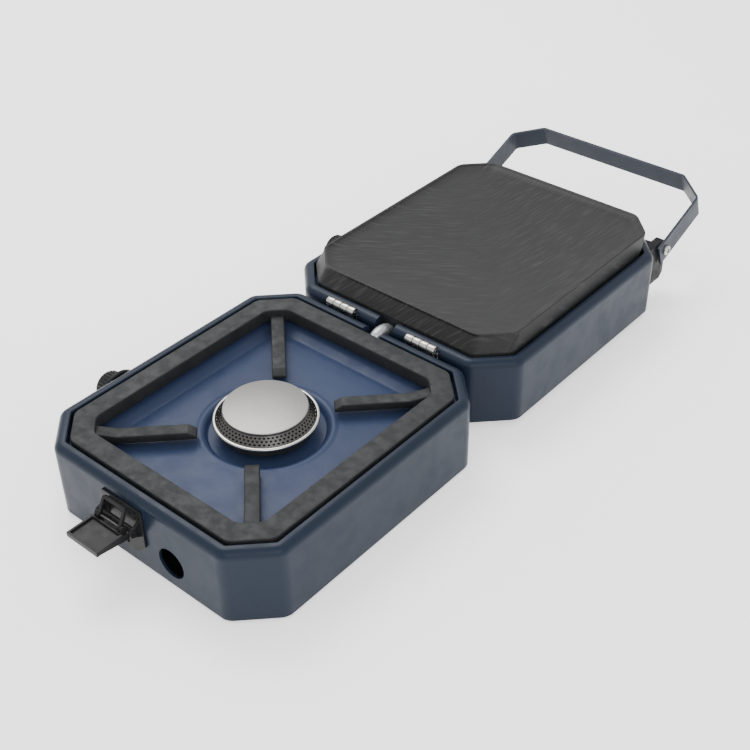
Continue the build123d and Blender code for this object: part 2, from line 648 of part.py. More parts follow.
with BuildPart() as hinge_pins:
    with BuildSketch(Plane((0, HINGE_Y, HINGE_Z), x_dir=(0, 1, 0), z_dir=(1, 0, 0))):
        Circle(HINGE_PIN_R)
    extrude(amount=WIDTH / 2, both=True)
    with BuildSketch(Plane((0, HINGE_Y, HINGE_Z - 5))):
        Rectangle(2 * HINGE_X - KNUCKLE_N * KNUCKLE_L, 10)
        with Locations((-WIDTH / 2, 0), (WIDTH / 2, 0)):
            Rectangle(WIDTH - 2 * HINGE_X - KNUCKLE_N * KNUCKLE_L, 10)
    extrude(amount=10, mode=Mode.SUBTRACT)
finish(make_leaves(-1, 0).part, "base_hinge_leaves")
finish(make_leaves(1, 1).part, "lid_hinge_leaves")
finish(hinge_pins.part, "hinge_pins")

RIVET_R = 1.6
RIVET_HEAD_R = 2.8
RIVET_HEAD_H = 0.9
RIVET_DROPS = (10.0, 20.0)


def make_rivets(side):
    """Low-headed rivets through leaf and wall, two to a leaf, one above the other."""
    face_y = HINGE_Y + side * (HINGE_GAP / 2 - LEAF_T)
    with BuildPart() as rivets:
        spots = [(sx * HINGE_X, HINGE_Z - drop) for sx in (-1, 1) for drop in RIVET_DROPS]
        with BuildSketch(Plane((0, face_y, 0), x_dir=(1, 0, 0), z_dir=(0, -1, 0))):
            with Locations(*spots):
                Circle(RIVET_HEAD_R)
        extrude(amount=side * RIVET_HEAD_H)
    return rivets


finish(make_rivets(-1).part, "base_hinge_rivets")
finish(make_rivets(1).part, "lid_hinge_rivets")

# ---------------------------------------------------------------- latch
FRONT_Y = -DEPTH / 2
PIN_Y = FRONT_Y - LATCH_PIN_OUT
LINK_Y = PIN_Y - LINK_OUT
LINK_Z = LATCH_PIN_Z + LINK_UP
EAR_IN = LEVER_W / 2 + 0.4


with BuildPart() as latch_plate:
    with BuildSketch(Plane((LATCH_X, FRONT_Y, 0), x_dir=(1, 0, 0), z_dir=(0, -1, 0))):
        with Locations((0, LATCH_PLATE_TOP - LATCH_PLATE_H / 2)):
            Rectangle(LATCH_PLATE_W, LATCH_PLATE_H)
    extrude(amount=LATCH_PLATE_T)
    chamfer(latch_plate.edges().filter_by(Axis.Y).group_by(Axis.Z)[0], LATCH_POINT)
    for ear_x in (LATCH_X - EAR_IN - LATCH_EAR_T, LATCH_X + EAR_IN):
        with BuildSketch(across(ear_x, PIN_Y, LATCH_PIN_Z)):
            Circle(LATCH_EAR_R)
            with BuildLine():
                Polyline((0, LATCH_EAR_R), (LATCH_PIN_OUT, LATCH_EAR_R + 5),
                         (LATCH_PIN_OUT, -LATCH_EAR_R - 5), (0, -LATCH_EAR_R), close=True)
            make_face()
        extrude(amount=LATCH_EAR_T)
    with BuildSketch(across(LATCH_X, PIN_Y, LATCH_PIN_Z)):
        Circle(LATCH_PIN_R)
    extrude(amount=LATCH_PLATE_W, both=True, mode=Mode.SUBTRACT)
finish(latch_plate.part, "latch_plate")

with BuildPart() as latch_rivets:
    with BuildSketch(Plane((LATCH_X, FRONT_Y - LATCH_PLATE_T, 0), x_dir=(1, 0, 0), z_dir=(0, -1, 0))):
        with Locations((-12, LATCH_PLATE_TOP - 4), (12, LATCH_PLATE_TOP - 4),
                       (0, LATCH_PLATE_TOP - LATCH_PLATE_H + 6)):
            Circle(2.4)
    extrude(amount=1.2)
    chamfer(latch_rivets.edges().group_by(Axis.Y)[0], 0.5)
finish(latch_rivets.part, "latch_rivets")

with BuildPart() as latch_pin:
    with BuildSketch(across(LATCH_X - EAR_IN - LATCH_EAR_T, PIN_Y, LATCH_PIN_Z)):
        Circle(LATCH_PIN_R)
    extrude(amount=2 * (EAR_IN + LATCH_EAR_T))
finish(latch_pin.part, "latch_lever_pin")

with BuildPart() as latch_lever:
    with BuildSketch(across(LATCH_X, PIN_Y, LATCH_PIN_Z)):
        Circle(LEVER_HUB_R)
        with Locations((-LEVER_L / 2, 0)):
            Rectangle(LEVER_L, LEVER_T)
    extrude(amount=LEVER_W / 2, both=True)
    # raised border and the cheeks that stiffen the sides
    with BuildSketch(Plane((LATCH_X, PIN_Y - LEVER_L / 2 - 4, LATCH_PIN_Z))):
        Rectangle(LEVER_W, LEVER_L - 8)
        Rectangle(LEVER_W - 4, LEVER_L - 12, mode=Mode.SUBTRACT)
    extrude(amount=LEVER_T / 2 + LEVER_EDGE)
    for cheek_x in (LATCH_X - LEVER_W / 2, LATCH_X + LEVER_W / 2 - 2):
        with BuildSketch(across(cheek_x, PIN_Y, LATCH_PIN_Z)):
            with BuildLine():
                Polyline((-2, 0), (-2, -4.5), (-8, -4.5), (-LEVER_L + 2, -1),
                         (-LEVER_L + 2, 0), close=True)
            make_face()
        extrude(amount=2)
    # lugs for the loop's pin
    for lug_x in (LATCH_X - LOOP_W / 2 - 0.3 - 2.2, LATCH_X + LOOP_W / 2 + 0.3):
        with BuildSketch(across(lug_x, PIN_Y, LATCH_PIN_Z)):
            with Locations((-LINK_OUT, LINK_UP)):
                Circle(LINK_LUG_R)
            with Locations((-LINK_OUT, LINK_UP / 2)):
                Rectangle(2 * LINK_LUG_R, LINK_UP)
        extrude(amount=2.2)
    with BuildSketch(across(LATCH_X, PIN_Y, LATCH_PIN_Z)):
        Circle(LATCH_PIN_R + FIT_RUN)
        with Locations((-LINK_OUT, LINK_UP)):
            Circle(LINK_PIN_R)
    extrude(amount=LEVER_W, both=True, mode=Mode.SUBTRACT)
finish(latch_lever.part, "latch_lever")

with BuildPart() as loop_pin:
    with BuildSketch(across(LATCH_X, LINK_Y, LINK_Z)):
        Circle(LINK_PIN_R)
    extrude(amount=LOOP_W / 2 + 0.3 + 2.2, both=True)
finish(loop_pin.part, "latch_loop_pin")

LOOP_UP = (0, sin(radians(LOOP_LEAN)), cos(radians(LOOP_LEAN)))
with BuildPart() as latch_loop:
    with BuildSketch(Plane((LATCH_X, LINK_Y, LINK_Z), x_dir=(-1, 0, 0),
                           z_dir=(0, LOOP_UP[2], -LOOP_UP[1]))):
        with Locations((0, LOOP_L / 2)):
            RectangleRounded(LOOP_W, LOOP_L + LOOP_ROD, 2.5)
        with Locations((0, LOOP_L / 2)):
            Rectangle(LOOP_W - 2 * LOOP_ROD, LOOP_L - LOOP_ROD, mode=Mode.SUBTRACT)
        with Locations((0, 0)):
            Rectangle(LOOP_W - 2 * LOOP_ROD, LOOP_ROD + 2, mode=Mode.SUBTRACT)
    extrude(amount=LOOP_ROD / 2, both=True)
    for eye_x in (LATCH_X - LOOP_W / 2, LATCH_X + LOOP_W / 2 - LOOP_ROD):
        with BuildSketch(across(eye_x, LINK_Y, LINK_Z)):
            Circle(LINK_LUG_R)
        extrude(amount=LOOP_ROD)
    with BuildSketch(across(LATCH_X, LINK_Y, LINK_Z)):
        Circle(LINK_PIN_R + FIT_RUN)
    extrude(amount=LOOP_W, both=True, mode=Mode.SUBTRACT)
finish(latch_loop.part, "latch_loop")

FAR_Y = LID_Y + DEPTH / 2
with BuildPart() as latch_catch:
    with BuildSketch(across(LATCH_X, FAR_Y, 0)):
        with Locations((LATCH_PLATE_T / 2, (CATCH_TOP_Z + CATCH_FOOT_Z) / 2)):
            Rectangle(LATCH_PLATE_T, CATCH_TOP_Z - CATCH_FOOT_Z)
        with Locations((LATCH_PLATE_T / 2 + CATCH_LIP / 2, CATCH_TOP_Z - LATCH_PLATE_T / 2)):
            Rectangle(LATCH_PLATE_T + CATCH_LIP, LATCH_PLATE_T)
    extrude(amount=CATCH_W / 2, both=True)
    chamfer(latch_catch.edges().filter_by(Axis.Y).group_by(Axis.Z)[0], 4.0)
finish(latch_catch.part, "latch_catch")

with BuildPart() as catch_rivets:
    with BuildSketch(Plane((LATCH_X, FAR_Y + LATCH_PLATE_T, CATCH_FOOT_Z + 7),
                           x_dir=(-1, 0, 0), z_dir=(0, 1, 0))):
        with Locations((-8, 0), (8, 0)):
            Circle(2.4)
    extrude(amount=1.2)
    chamfer(catch_rivets.edges().group_by(Axis.Y)[-1], 0.5)
finish(catch_rivets.part, "catch_rivets")

# ---------------------------------------------------------------- carrying handle
HANDLE_Y = FAR_Y + HANDLE_OUT
HANDLE_DIR = (0, sin(radians(HANDLE_TILT)), cos(radians(HANDLE_TILT)))
HANDLE_ACROSS = (0, -cos(radians(HANDLE_TILT)), sin(radians(HANDLE_TILT)))
ARM_OUT = HANDLE_HALF + HANDLE_T / 2
ARM_IN = HANDLE_HALF - HANDLE_T / 2
WASHER_T = 1.25
BRACKET_OUT = ARM_IN - WASHER_T


def bail(half, reach, arm, top_half, bend):
    """The strap's outline in its own plane: straight arms, two cut corners and the top bar."""
    foot = 1.0 - HANDLE_W / 2
    with BuildSketch(Plane((0, HANDLE_Y, HANDLE_PIVOT_Z), x_dir=(1, 0, 0), z_dir=HANDLE_ACROSS)) as shape:
        Polygon((-half, foot), (-half, arm), (-top_half, reach),
                (top_half, reach), (half, arm), (half, foot), align=None)
        fillet(shape.vertices().group_by(Axis((0, 0, 0), HANDLE_DIR))[1:], bend)
    return shape.sketch


with BuildPart() as handle_strap:
    extrude(bail(ARM_OUT, HANDLE_REACH + HANDLE_T / 2, HANDLE_ARM, HANDLE_TOP_HALF, HANDLE_BEND),
            amount=HANDLE_W / 2, both=True)
    extrude(bail(ARM_IN, HANDLE_REACH - HANDLE_T / 2, HANDLE_ARM - HANDLE_T / 3,
                 HANDLE_TOP_HALF - HANDLE_T / 3, HANDLE_BEND - HANDLE_T),
            amount=HANDLE_W, both=True, mode=Mode.SUBTRACT)
    with BuildSketch(across(0, HANDLE_Y, HANDLE_PIVOT_Z)):
        Circle(HANDLE_SCREW_R + FIT_RUN)
    extrude(amount=WIDTH / 2, both=True, mode=Mode.SUBTRACT)
finish(handle_strap.part, "handle_strap")

with BuildPart() as handle_brackets:
    for sx in (-1, 1):
        with BuildSketch(Plane((0, FAR_Y, HANDLE_PIVOT_Z + 9.0 - BRACKET_H))):
            Polygon((sx * (BRACKET_OUT - BRACKET_L), -8), (sx * (BRACKET_OUT - BRACKET_L), BRACKET_BASE_T),
                    (sx * (BRACKET_OUT - BRACKET_T), BRACKET_BASE_T + 2),
                    (sx * (BRACKET_OUT - BRACKET_T), HANDLE_OUT + 7),
                    (sx * BRACKET_OUT, HANDLE_OUT + 7), (sx * BRACKET_OUT, -20), align=None)
        extrude(amount=BRACKET_H)
    chamfer(handle_brackets.edges().filter_by(Axis.X).group_by(Axis.Y)[-1], 5.0)
    extrude(outline(LID_Y, LID_Z), amount=LID_SHELL_H, mode=Mode.SUBTRACT)
    with BuildSketch(across(0, HANDLE_Y, HANDLE_PIVOT_Z)):
        Circle(HANDLE_SCREW_R)
    extrude(amount=WIDTH / 2, both=True, mode=Mode.SUBTRACT)
finish(handle_brackets.part, "handle_brackets")

with BuildPart() as handle_screws:
    for sx in (-1, 1):
        with BuildSketch(across(sx * (ARM_OUT + 0.1), HANDLE_Y, HANDLE_PIVOT_Z)):
            Circle(5.0)
        extrude(amount=sx * 3.0)
        with BuildSketch(across(sx * (BRACKET_OUT - BRACKET_T), HANDLE_Y, HANDLE_PIVOT_Z)):
            Circle(HANDLE_SCREW_R)
        extrude(amount=sx * (ARM_OUT + 0.2 - BRACKET_OUT + BRACKET_T))
    fillet(handle_screws.edges().group_by(Axis.X)[-1], 1.2)
    fillet(handle_screws.edges().group_by(Axis.X)[0], 1.2)
finish(handle_screws.part, "handle_screws")

with BuildPart() as handle_washers:
    for sx in (-1, 1):
        with BuildSketch(across(sx * BRACKET_OUT, HANDLE_Y, HANDLE_PIVOT_Z)):
            Circle(6.0)
            Circle(HANDLE_SCREW_R, mode=Mode.SUBTRACT)
        extrude(amount=sx * (WASHER_T - 0.1))
finish(handle_washers.part, "handle_washers")

# ---------------------------------------------------------------- griddle plate
GRIDDLE_FOOT_W = WIDTH - 2 * GRIDDLE_FOOT_IN
GRIDDLE_D = DEPTH - 2 * GRIDDLE_FOOT_IN


def griddle_outline(rise, inset):
    """The plate's outline at a height above its foot, moved in by inset; it leans from foot to lip."""
    share = rise / GRIDDLE_H
    width = GRIDDLE_FOOT_W + (GRIDDLE_W - GRIDDLE_FOOT_W) * share
    with BuildSketch(Plane((0, LID_Y + GRIDDLE_LEAN * share, SUPPORT_TOP_Z + rise))) as shape:
        Rectangle(width - 2 * inset, GRIDDLE_D - 2 * inset)
        chamfer(shape.vertices(), GRIDDLE_CORNER - inset * OCTAGON)
        fillet(shape.vertices(), max(6.0 - inset / 2, 2.0))
    return shape.sketch


with BuildPart() as griddle:
    loft([griddle_outline(0, 0), griddle_outline(GRIDDLE_H, 0)], ruled=True)
    loft([griddle_outline(GRIDDLE_H - GRIDDLE_LIP_H, GRIDDLE_LIP_W + 3.0),
          griddle_outline(GRIDDLE_H, GRIDDLE_LIP_W)], ruled=True, mode=Mode.SUBTRACT)
    loft([griddle_outline(0, GRIDDLE_SKIRT),
          griddle_outline(GRIDDLE_H - GRIDDLE_LIP_H - GRIDDLE_T, GRIDDLE_SKIRT + 1.0)],
         ruled=True, mode=Mode.SUBTRACT)
    fillet(griddle.faces().sort_by(Axis.Z)[-1].outer_wire().edges(), 1.0)
finish(griddle.part, "griddle")


# ---------------------------------------------------------------- tray screws
def make_tray_screws(middle_y):
    """Four short screws that hold the tray's flange against the rim."""
    with BuildPart() as screws:
        with BuildSketch(Plane((0, middle_y, FLANGE_TOP_Z - SHEET_T))):
            with Locations(*corner_points(8.5)):
                RegularPolygon(SCREW_HEAD_R, 6)
        extrude(amount=-SCREW_HEAD_H)
    return screws


finish(make_tray_screws(BASE_Y).part, "base_tray_nuts")
finish(make_tray_screws(LID_Y).part, "lid_tray_nuts")
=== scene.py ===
"""Folding two-burner camp grill, dressed over its CAD frame: painted cases and trays, cast pan supports,
perforated stainless burners, a coated griddle plate, black latch and knobs, and a braided hose."""
from math import atan2, cos, pi, radians, sin, sqrt

import bpy
from bpy.props import FloatProperty, FloatVectorProperty, IntProperty, PointerProperty
from mathutils import Matrix, Vector


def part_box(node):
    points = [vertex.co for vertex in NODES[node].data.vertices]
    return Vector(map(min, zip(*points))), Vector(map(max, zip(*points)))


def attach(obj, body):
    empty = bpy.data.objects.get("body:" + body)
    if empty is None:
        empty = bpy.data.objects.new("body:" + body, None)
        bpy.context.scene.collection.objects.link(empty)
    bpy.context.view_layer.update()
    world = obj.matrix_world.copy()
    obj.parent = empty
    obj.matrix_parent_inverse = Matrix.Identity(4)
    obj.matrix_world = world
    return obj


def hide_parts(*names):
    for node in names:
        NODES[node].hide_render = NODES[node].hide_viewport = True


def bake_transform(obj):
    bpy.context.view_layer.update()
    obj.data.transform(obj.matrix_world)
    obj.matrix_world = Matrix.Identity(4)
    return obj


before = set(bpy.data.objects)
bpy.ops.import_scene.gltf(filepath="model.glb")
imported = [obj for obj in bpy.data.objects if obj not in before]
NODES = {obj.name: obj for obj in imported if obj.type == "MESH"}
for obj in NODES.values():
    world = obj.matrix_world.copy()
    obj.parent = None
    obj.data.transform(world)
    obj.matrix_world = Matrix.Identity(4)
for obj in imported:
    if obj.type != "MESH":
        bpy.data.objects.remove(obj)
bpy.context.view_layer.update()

bl_info = {
    "name": "Folding Camp Grill",
    "version": (1, 0, 0),
    "blender": (4, 5, 0),
    "location": "View3D > Sidebar > Camp Grill",
    "description": "Models and finishes the pieces of a folding two-burner camp grill",
    "category": "Add Mesh",
}

MM = 0.001

# ------------------------------------------------------------------ places read from the frame
_, CASE_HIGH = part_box("base_case")
LID_LOW, LID_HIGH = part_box("lid_case")
HALF_X = CASE_HIGH[0]
HALF_Y = CASE_HIGH[1]
LID_MIDDLE = (LID_LOW[1] + LID_HIGH[1]) / 2
HINGE_LOW, HINGE_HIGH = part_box("hinge_pins")
HINGE_Y = (HINGE_LOW[1] + HINGE_HIGH[1]) / 2
MIDDLES = {"base": 0.0, "lid": LID_MIDDLE}

# ------------------------------------------------------------------ sizes of the modelled pieces
# Lists named _STEPS hold (inward, up) steps, and the other lists (radius, height) pairs, all in mm.
CORNER = 32 * MM
SHEET = 1.0 * MM

TRAY_DEPTH = 10 * MM
TRAY_ROUNDING = 5 * MM
TRAY_FLANGE = 11 * MM
TRAY_SLOPE = 19 * MM
TRAY_TOP_BEND_STEPS = [(1.2, -0.15), (1.4, -0.6)]
TRAY_FOOT_BEND_STEPS = [(1.4, -0.65), (1.6, -0.2)]
TRAY_BENDS_DROP = 1.6 * MM
WELL = [(59, 0), (57.6, 0.15), (56.2, 0.6), (54.8, 0.7), (53.4, 0.4), (52.0, -0.4), (50.8, -1.6),
        (50, -3), (49.4, -4.4), (48.4, -5), (21, -5), (20.2, -5.3), (20, -6)]
WELL_SEAM_IN, WELL_SEAM_OUT = 59.1 * MM, 62 * MM
TRAY_FLAT_REACH = 120 * MM

ARM_WIDTH, ARM_THICKNESS, ARM_REACH = 12 * MM, 7.5 * MM, 79 * MM
ARM_DROP = 13.8 * MM
ARM_TOP_DROP = 10.05 * MM
ARM_ROOT_OVERLAP = 3 * MM
ARM_CUTS = (9 * MM, 16 * MM)
ARM_TIP = 7 * MM
ARM_ROOT_TOP_RISE, ARM_ROOT_FOOT_RISE = 4.8 * MM, 3.0 * MM
ARM_NECK_RISE, ARM_TIP_RISE = 1.9 * MM, -4.2 * MM
ARM_EDGE = 1.1 * MM
RING_SKIN, RING_DEPTH, RING_WIDTH = 3.2 * MM, 12.4 * MM, 18.3 * MM
RING_ROUNDING, RING_EDGE = 4 * MM, 1.2 * MM

TURNED_SIDES = 96
DISC_HOLE = 4 * MM
DISC_HOLE_REACH = 4.1 * MM
DISC_THICKNESS = 1.1 * MM
DISC_EDGE = [(-1.3, 0), (-0.6, -0.15), (-0.15, -0.6), (0, -1.3), (0, -2.4), (-0.8, -2.4), (-0.9, -1.2)]
SKIRT_SHEET = 0.5 * MM
SKIRT_UNDER_DISC = 0.4 * MM
ROLL_START = [(-6, 0.3)]
ROLL_CROWN = [(-5.9, -0.6), (-5, -0.1), (-3.4, -0.5), (-2.2, -0.1), (-1.1, 0), (-0.3, -0.6), (0, -1.5)]
ROLL_FOOT = [(-0.3, 0.5), (-1.2, 0), (-5.6, 0), (-6, 0.3)]

PLATE_HALF_X, PLATE_HALF_Y = 111 * MM, 130 * MM
PLATE_CORNER, PLATE_ROUNDING = 25 * MM, 5 * MM
PLATE_LIP_STEPS = [(2.4, 0), (1.6, -1.4), (6, -1.9)]
PLATE_LIP_DROP, PLATE_FOOT_RISE = 2.4 * MM, 3 * MM
PLATE_FOOT_STEPS = [(0.8, -0.6), (4.2, 0), (0.5, 6)]

KNOB_FLANGE = [(-1, 0), (0, 0.8), (0, 2.8), (-1.2, 4)]
KNOB_GRIP = [(15.2, 4.4), (14.2, 5.6), (13.9, 6.2), (13.0, 17.6), (12.4, 19), (11.0, 19.9), (8.5, 19.9),
             (8.0, 19.4)]
KNOB_RIBBED_LOW, KNOB_RIBBED_HIGH, KNOB_RIBBED_RADIUS = 7 * MM, 17 * MM, 12 * MM
KNOB_RIB_EDGE, KNOB_RIB_HEIGHT = 0.15 * MM, 0.5 * MM
KNOB_FACES_EACH_RIB = 4

SCREW_HEAD = [(2.5, -14), (2.5, 0), (5, 0), (5, 1.4), (4.6, 2.4), (3.7, 3), (2.5, 3), (2.4, 1.4)]
SCREW_HEAD_HEIGHT = 3 * MM
SCREW_SIDES = 48

HOSE_FOOT_SHARE, HOSE_BEND_SHARE = 0.62, 0.36
HOSE_BEND_RISE = 1.5 * MM
HOSE_SHOULDER_OUT, HOSE_SHOULDER_DROP = 11.5 * MM, 4 * MM
HOSE_CROWN_OUT, HOSE_CROWN_RISE = 4.5 * MM, 0.6 * MM

# ------------------------------------------------------------------ floor, lights and camera
FLOOR_RADIUS = 6
WORLD_STRENGTH = 1.35
LIT_POINT = (0, 0.15, 0.05)
LIGHTS = (("key", (-0.9, 0.5, 1.6), 26, 1.2), ("fill", (1.4, -0.9, 1.2), 12, 1.4))
CAMERA_TURN, CAMERA_HEIGHT, CAMERA_LEAN = radians(40.975), radians(37.260), radians(-0.944)
CAMERA_TARGET = Vector((-16.69, 154.74, 3.0)) * MM
CAMERA_DISTANCE = 1153.3 * MM
CAMERA_SENSOR, CAMERA_LENS, CAMERA_CLIP = 36, 60.116, 20


def settings():
    """The sizes and colours that the panel shows."""
    return bpy.context.scene.camp_grill


# ------------------------------------------------------------------ modelling helpers
def corner_at(inset):
    """The leg of a cut corner that runs parallel to the case's, this far inside it."""
    return CORNER - inset * (2 - sqrt(2))


def outline(points, radius=0.0, height=0.0):
    """Pairs in mm, counted from this radius and height, in metres."""
    return [(radius + across * MM, height + rise * MM) for across, rise in points]


def deselect():
    """Object mode with nothing selected."""
    if bpy.context.mode != "OBJECT":
        bpy.ops.object.mode_set(mode="OBJECT")
    bpy.ops.object.select_all(action="DESELECT")


def take_new(name):
    """Name the primitive that was just added."""
    piece = bpy.context.active_object
    piece.name = name
    piece.data.name = name
    return piece


def settle(piece):
    """Put the piece's place, turn and size into its mesh."""
    deselect()
    piece.select_set(True)
    bpy.context.view_layer.objects.active = piece
    bpy.ops.object.transform_apply(location=True, rotation=True, scale=True)


def pick(piece, test, kind="FACE"):
    """Edit mode with only the faces, edges or points selected that pass the test.

    A face is tested by its centre and normal, an edge by its two ends, a point by its place and normal.
    """
    bpy.context.view_layer.objects.active = piece
    bpy.ops.object.mode_set(mode="EDIT")
    bpy.ops.mesh.select_mode(type={"FACE": "FACE", "EDGE": "EDGE", "POINT": "VERT"}[kind])
    bpy.ops.mesh.select_all(action="DESELECT")
    bpy.ops.object.mode_set(mode="OBJECT")
    mesh = piece.data
    if kind == "FACE":
        for face in mesh.polygons:
            face.select = bool(test(face.center, face.normal))
    elif kind == "EDGE":
        for edge in mesh.edges:
            ends = [mesh.vertices[i].co for i in edge.vertices]
            edge.select = bool(test(ends[0], ends[1]))
    else:
        for point in mesh.vertices:
            point.select = bool(test(point.co, point.normal))
    bpy.ops.object.mode_set(mode="EDIT")


def tidy_mesh(piece, merge=0.02 * MM):
    """Merge doubles and turn every face outwards."""
    bpy.context.view_layer.objects.active = piece
    bpy.ops.object.mode_set(mode="EDIT")
    bpy.ops.mesh.select_all(action="SELECT")
    bpy.ops.mesh.remove_doubles(threshold=merge)
    bpy.ops.mesh.normals_make_consistent(inside=False)
    bpy.ops.object.mode_set(mode="OBJECT")


def modify(piece, kind, **values):
    """Add a modifier with these values and apply it."""
    modifier = piece.modifiers.new(kind.title(), kind)
    for key, value in values.items():
        setattr(modifier, key, value)
    bpy.context.view_layer.objects.active = piece
    bpy.ops.object.modifier_apply(modifier=modifier.name)


def soften(piece, width, segments=3, angle=35):
    """Round the sharp edges and shade smoothly between them."""
    modify(piece, "BEVEL", width=width, segments=segments, limit_method="ANGLE",
           angle_limit=radians(angle), use_clamp_overlap=True, harden_normals=False)
    smooth(piece)


def smooth(piece, angle=40):
    """Shade smoothly wherever two faces meet at less than the angle."""
    deselect()
    piece.select_set(True)
    bpy.context.view_layer.objects.active = piece
    bpy.ops.object.shade_smooth_by_angle(angle=radians(angle))


def join(pieces, name):
    """Join pieces into the first one."""
    deselect()
    for piece in pieces:
        piece.select_set(True)
    bpy.context.view_layer.objects.active = pieces[0]
    bpy.ops.object.join()
    return take_new(name)


def copy_to(piece, name, shift):
    """A copy with its own mesh, moved by shift."""
    twin = piece.copy()
    twin.data = piece.data.copy()
    twin.name = name
    twin.data.name = name
    bpy.context.collection.objects.link(twin)
    twin.data.transform(Matrix.Translation(shift))
    return twin


def octagon(name, middle_y, half_x, half_y, corner, z, rounding=3 * MM):
    """A level loop of edges with cut and rounded corners, left selected."""
    deselect()
    bpy.ops.mesh.primitive_plane_add(size=2, location=(0, middle_y, z))
    piece = take_new(name)
    piece.scale = (half_x, half_y, 1)
    settle(piece)
    bpy.ops.object.mode_set(mode="EDIT")
    bpy.ops.mesh.select_mode(type="VERT")
    for offset, segments in ((corner, 1), (rounding, 4)):
        bpy.ops.mesh.select_all(action="SELECT")
        bpy.ops.mesh.bevel(offset=offset, offset_type="OFFSET", segments=segments, affect="VERTICES")
    bpy.ops.mesh.select_all(action="SELECT")
    bpy.ops.mesh.delete(type="ONLY_FACE")
    bpy.ops.mesh.select_mode(type="EDGE")
    bpy.ops.mesh.select_all(action="SELECT")
    return piece


def carry_in(piece, middle_y, *steps):
    """Carry the selected loop through (inward, up) steps; each new loop stays parallel to the last."""
    lean = sqrt(2) - 1
    for inward, rise in steps:
        bpy.ops.mesh.extrude_edges_move(TRANSFORM_OT_translate={"value": (0, 0, rise)})
        if not inward:
            continue
        bpy.ops.object.mode_set(mode="OBJECT")
        points = piece.data.vertices
        loop = [point.index for point in points if point.select]
        places = {index: (points[index].co.x, points[index].co.y - middle_y) for index in loop}
        half_x = max(abs(x) for x, y in places.values())
        half_y = max(abs(y) for x, y in places.values())
        for side_x in (-1, 1):
            for side_y in (-1, 1):
                for long_side in (True, False):
                    group = [index for index, (x, y) in places.items()
                             if x * side_x > 0 and y * side_y > 0
                             and (half_x - abs(x) < half_y - abs(y)) == long_side]
                    move_points(piece, group, (-side_x * inward * (1 if long_side else lean),
                                               -side_y * inward * (lean if long_side else 1), 0))
        choose_loop(piece, set(loop))


def move_points(piece, group, shift):
    """Move these points, in object mode before and after."""
    chosen = set(group)
    for edge in piece.data.edges:
        edge.select = False
    for face in piece.data.polygons:
        face.select = False
    for point in piece.data.vertices:
        point.select = point.index in chosen
    bpy.ops.object.mode_set(mode="EDIT")
    bpy.ops.mesh.select_mode(type="VERT")
    bpy.ops.transform.translate(value=shift)
    bpy.ops.object.mode_set(mode="OBJECT")


def choose_loop(piece, loop):
    """Edit mode with only the edges selected whose ends are both in the loop."""
    for face in piece.data.polygons:
        face.select = False
    for point in piece.data.vertices:
        point.select = point.index in loop
    for edge in piece.data.edges:
        edge.select = edge.vertices[0] in loop and edge.vertices[1] in loop
    bpy.ops.object.mode_set(mode="EDIT")
    bpy.ops.mesh.select_mode(type="EDGE")


def turned(name, centre, profile, sides=TURNED_SIDES, fill=False):
    """A circle of edges carried through (radius, height) pairs about the upright axis at centre."""
    deselect()
    radius, height = profile[0]
    bpy.ops.mesh.primitive_circle_add(vertices=sides, radius=radius, fill_type="NOTHING",
                                      location=(centre[0], centre[1], height))
    piece = take_new(name)
    settle(piece)
    bpy.ops.object.mode_set(mode="EDIT")
    bpy.ops.mesh.select_all(action="SELECT")
    if fill:
        bpy.ops.mesh.edge_face_add()
        bpy.ops.mesh.select_all(action="SELECT")
        bpy.ops.mesh.select_mode(type="EDGE")
        bpy.ops.mesh.region_to_loop()
    for next_radius, next_height in profile[1:]:
        rise = next_height - height
        bpy.ops.mesh.extrude_edges_move(TRANSFORM_OT_translate={"value": (0, 0, rise)})
        if abs(next_radius - radius) > 1e-7:
            ratio = next_radius / radius
            bpy.ops.transform.resize(value=(ratio, ratio, 1),
                                     center_override=(centre[0], centre[1], next_height))
        radius, height = next_radius, next_height
    if fill:
        bpy.ops.mesh.edge_face_add()
    bpy.ops.object.mode_set(mode="OBJECT")
    tidy_mesh(piece)
    return piece


def done(piece, body, finish, *stands_for):
    """Give a new piece its finish and its body, and hide the CAD nodes it stands for."""
    piece.data.materials.clear()
    piece.data.materials.append(finish)
    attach(piece, body)
    if stands_for:
        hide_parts(*stands_for)
    return piece


def paint_nodes(finish, *names):
    """Give CAD nodes a finish."""
    for name in names:
        mesh = NODES[name].data
        for index in range(max(1, len(mesh.materials))):
            if index < len(mesh.materials):
                mesh.materials[index] = finish
            else:
                mesh.materials.append(finish)


def ease_nodes(width, *names):
    """Small rounded edges on plain CAD nodes."""
    for name in names:
        node = NODES[name]
        weld = node.modifiers.new("Weld", "WELD")
        weld.merge_threshold = 0.01 * MM
        bevel = node.modifiers.new("Bevel", "BEVEL")
        bevel.width = width
        bevel.segments = 2
        bevel.limit_method = "ANGLE"
        bevel.angle_limit = radians(50)
        bevel.harden_normals = False


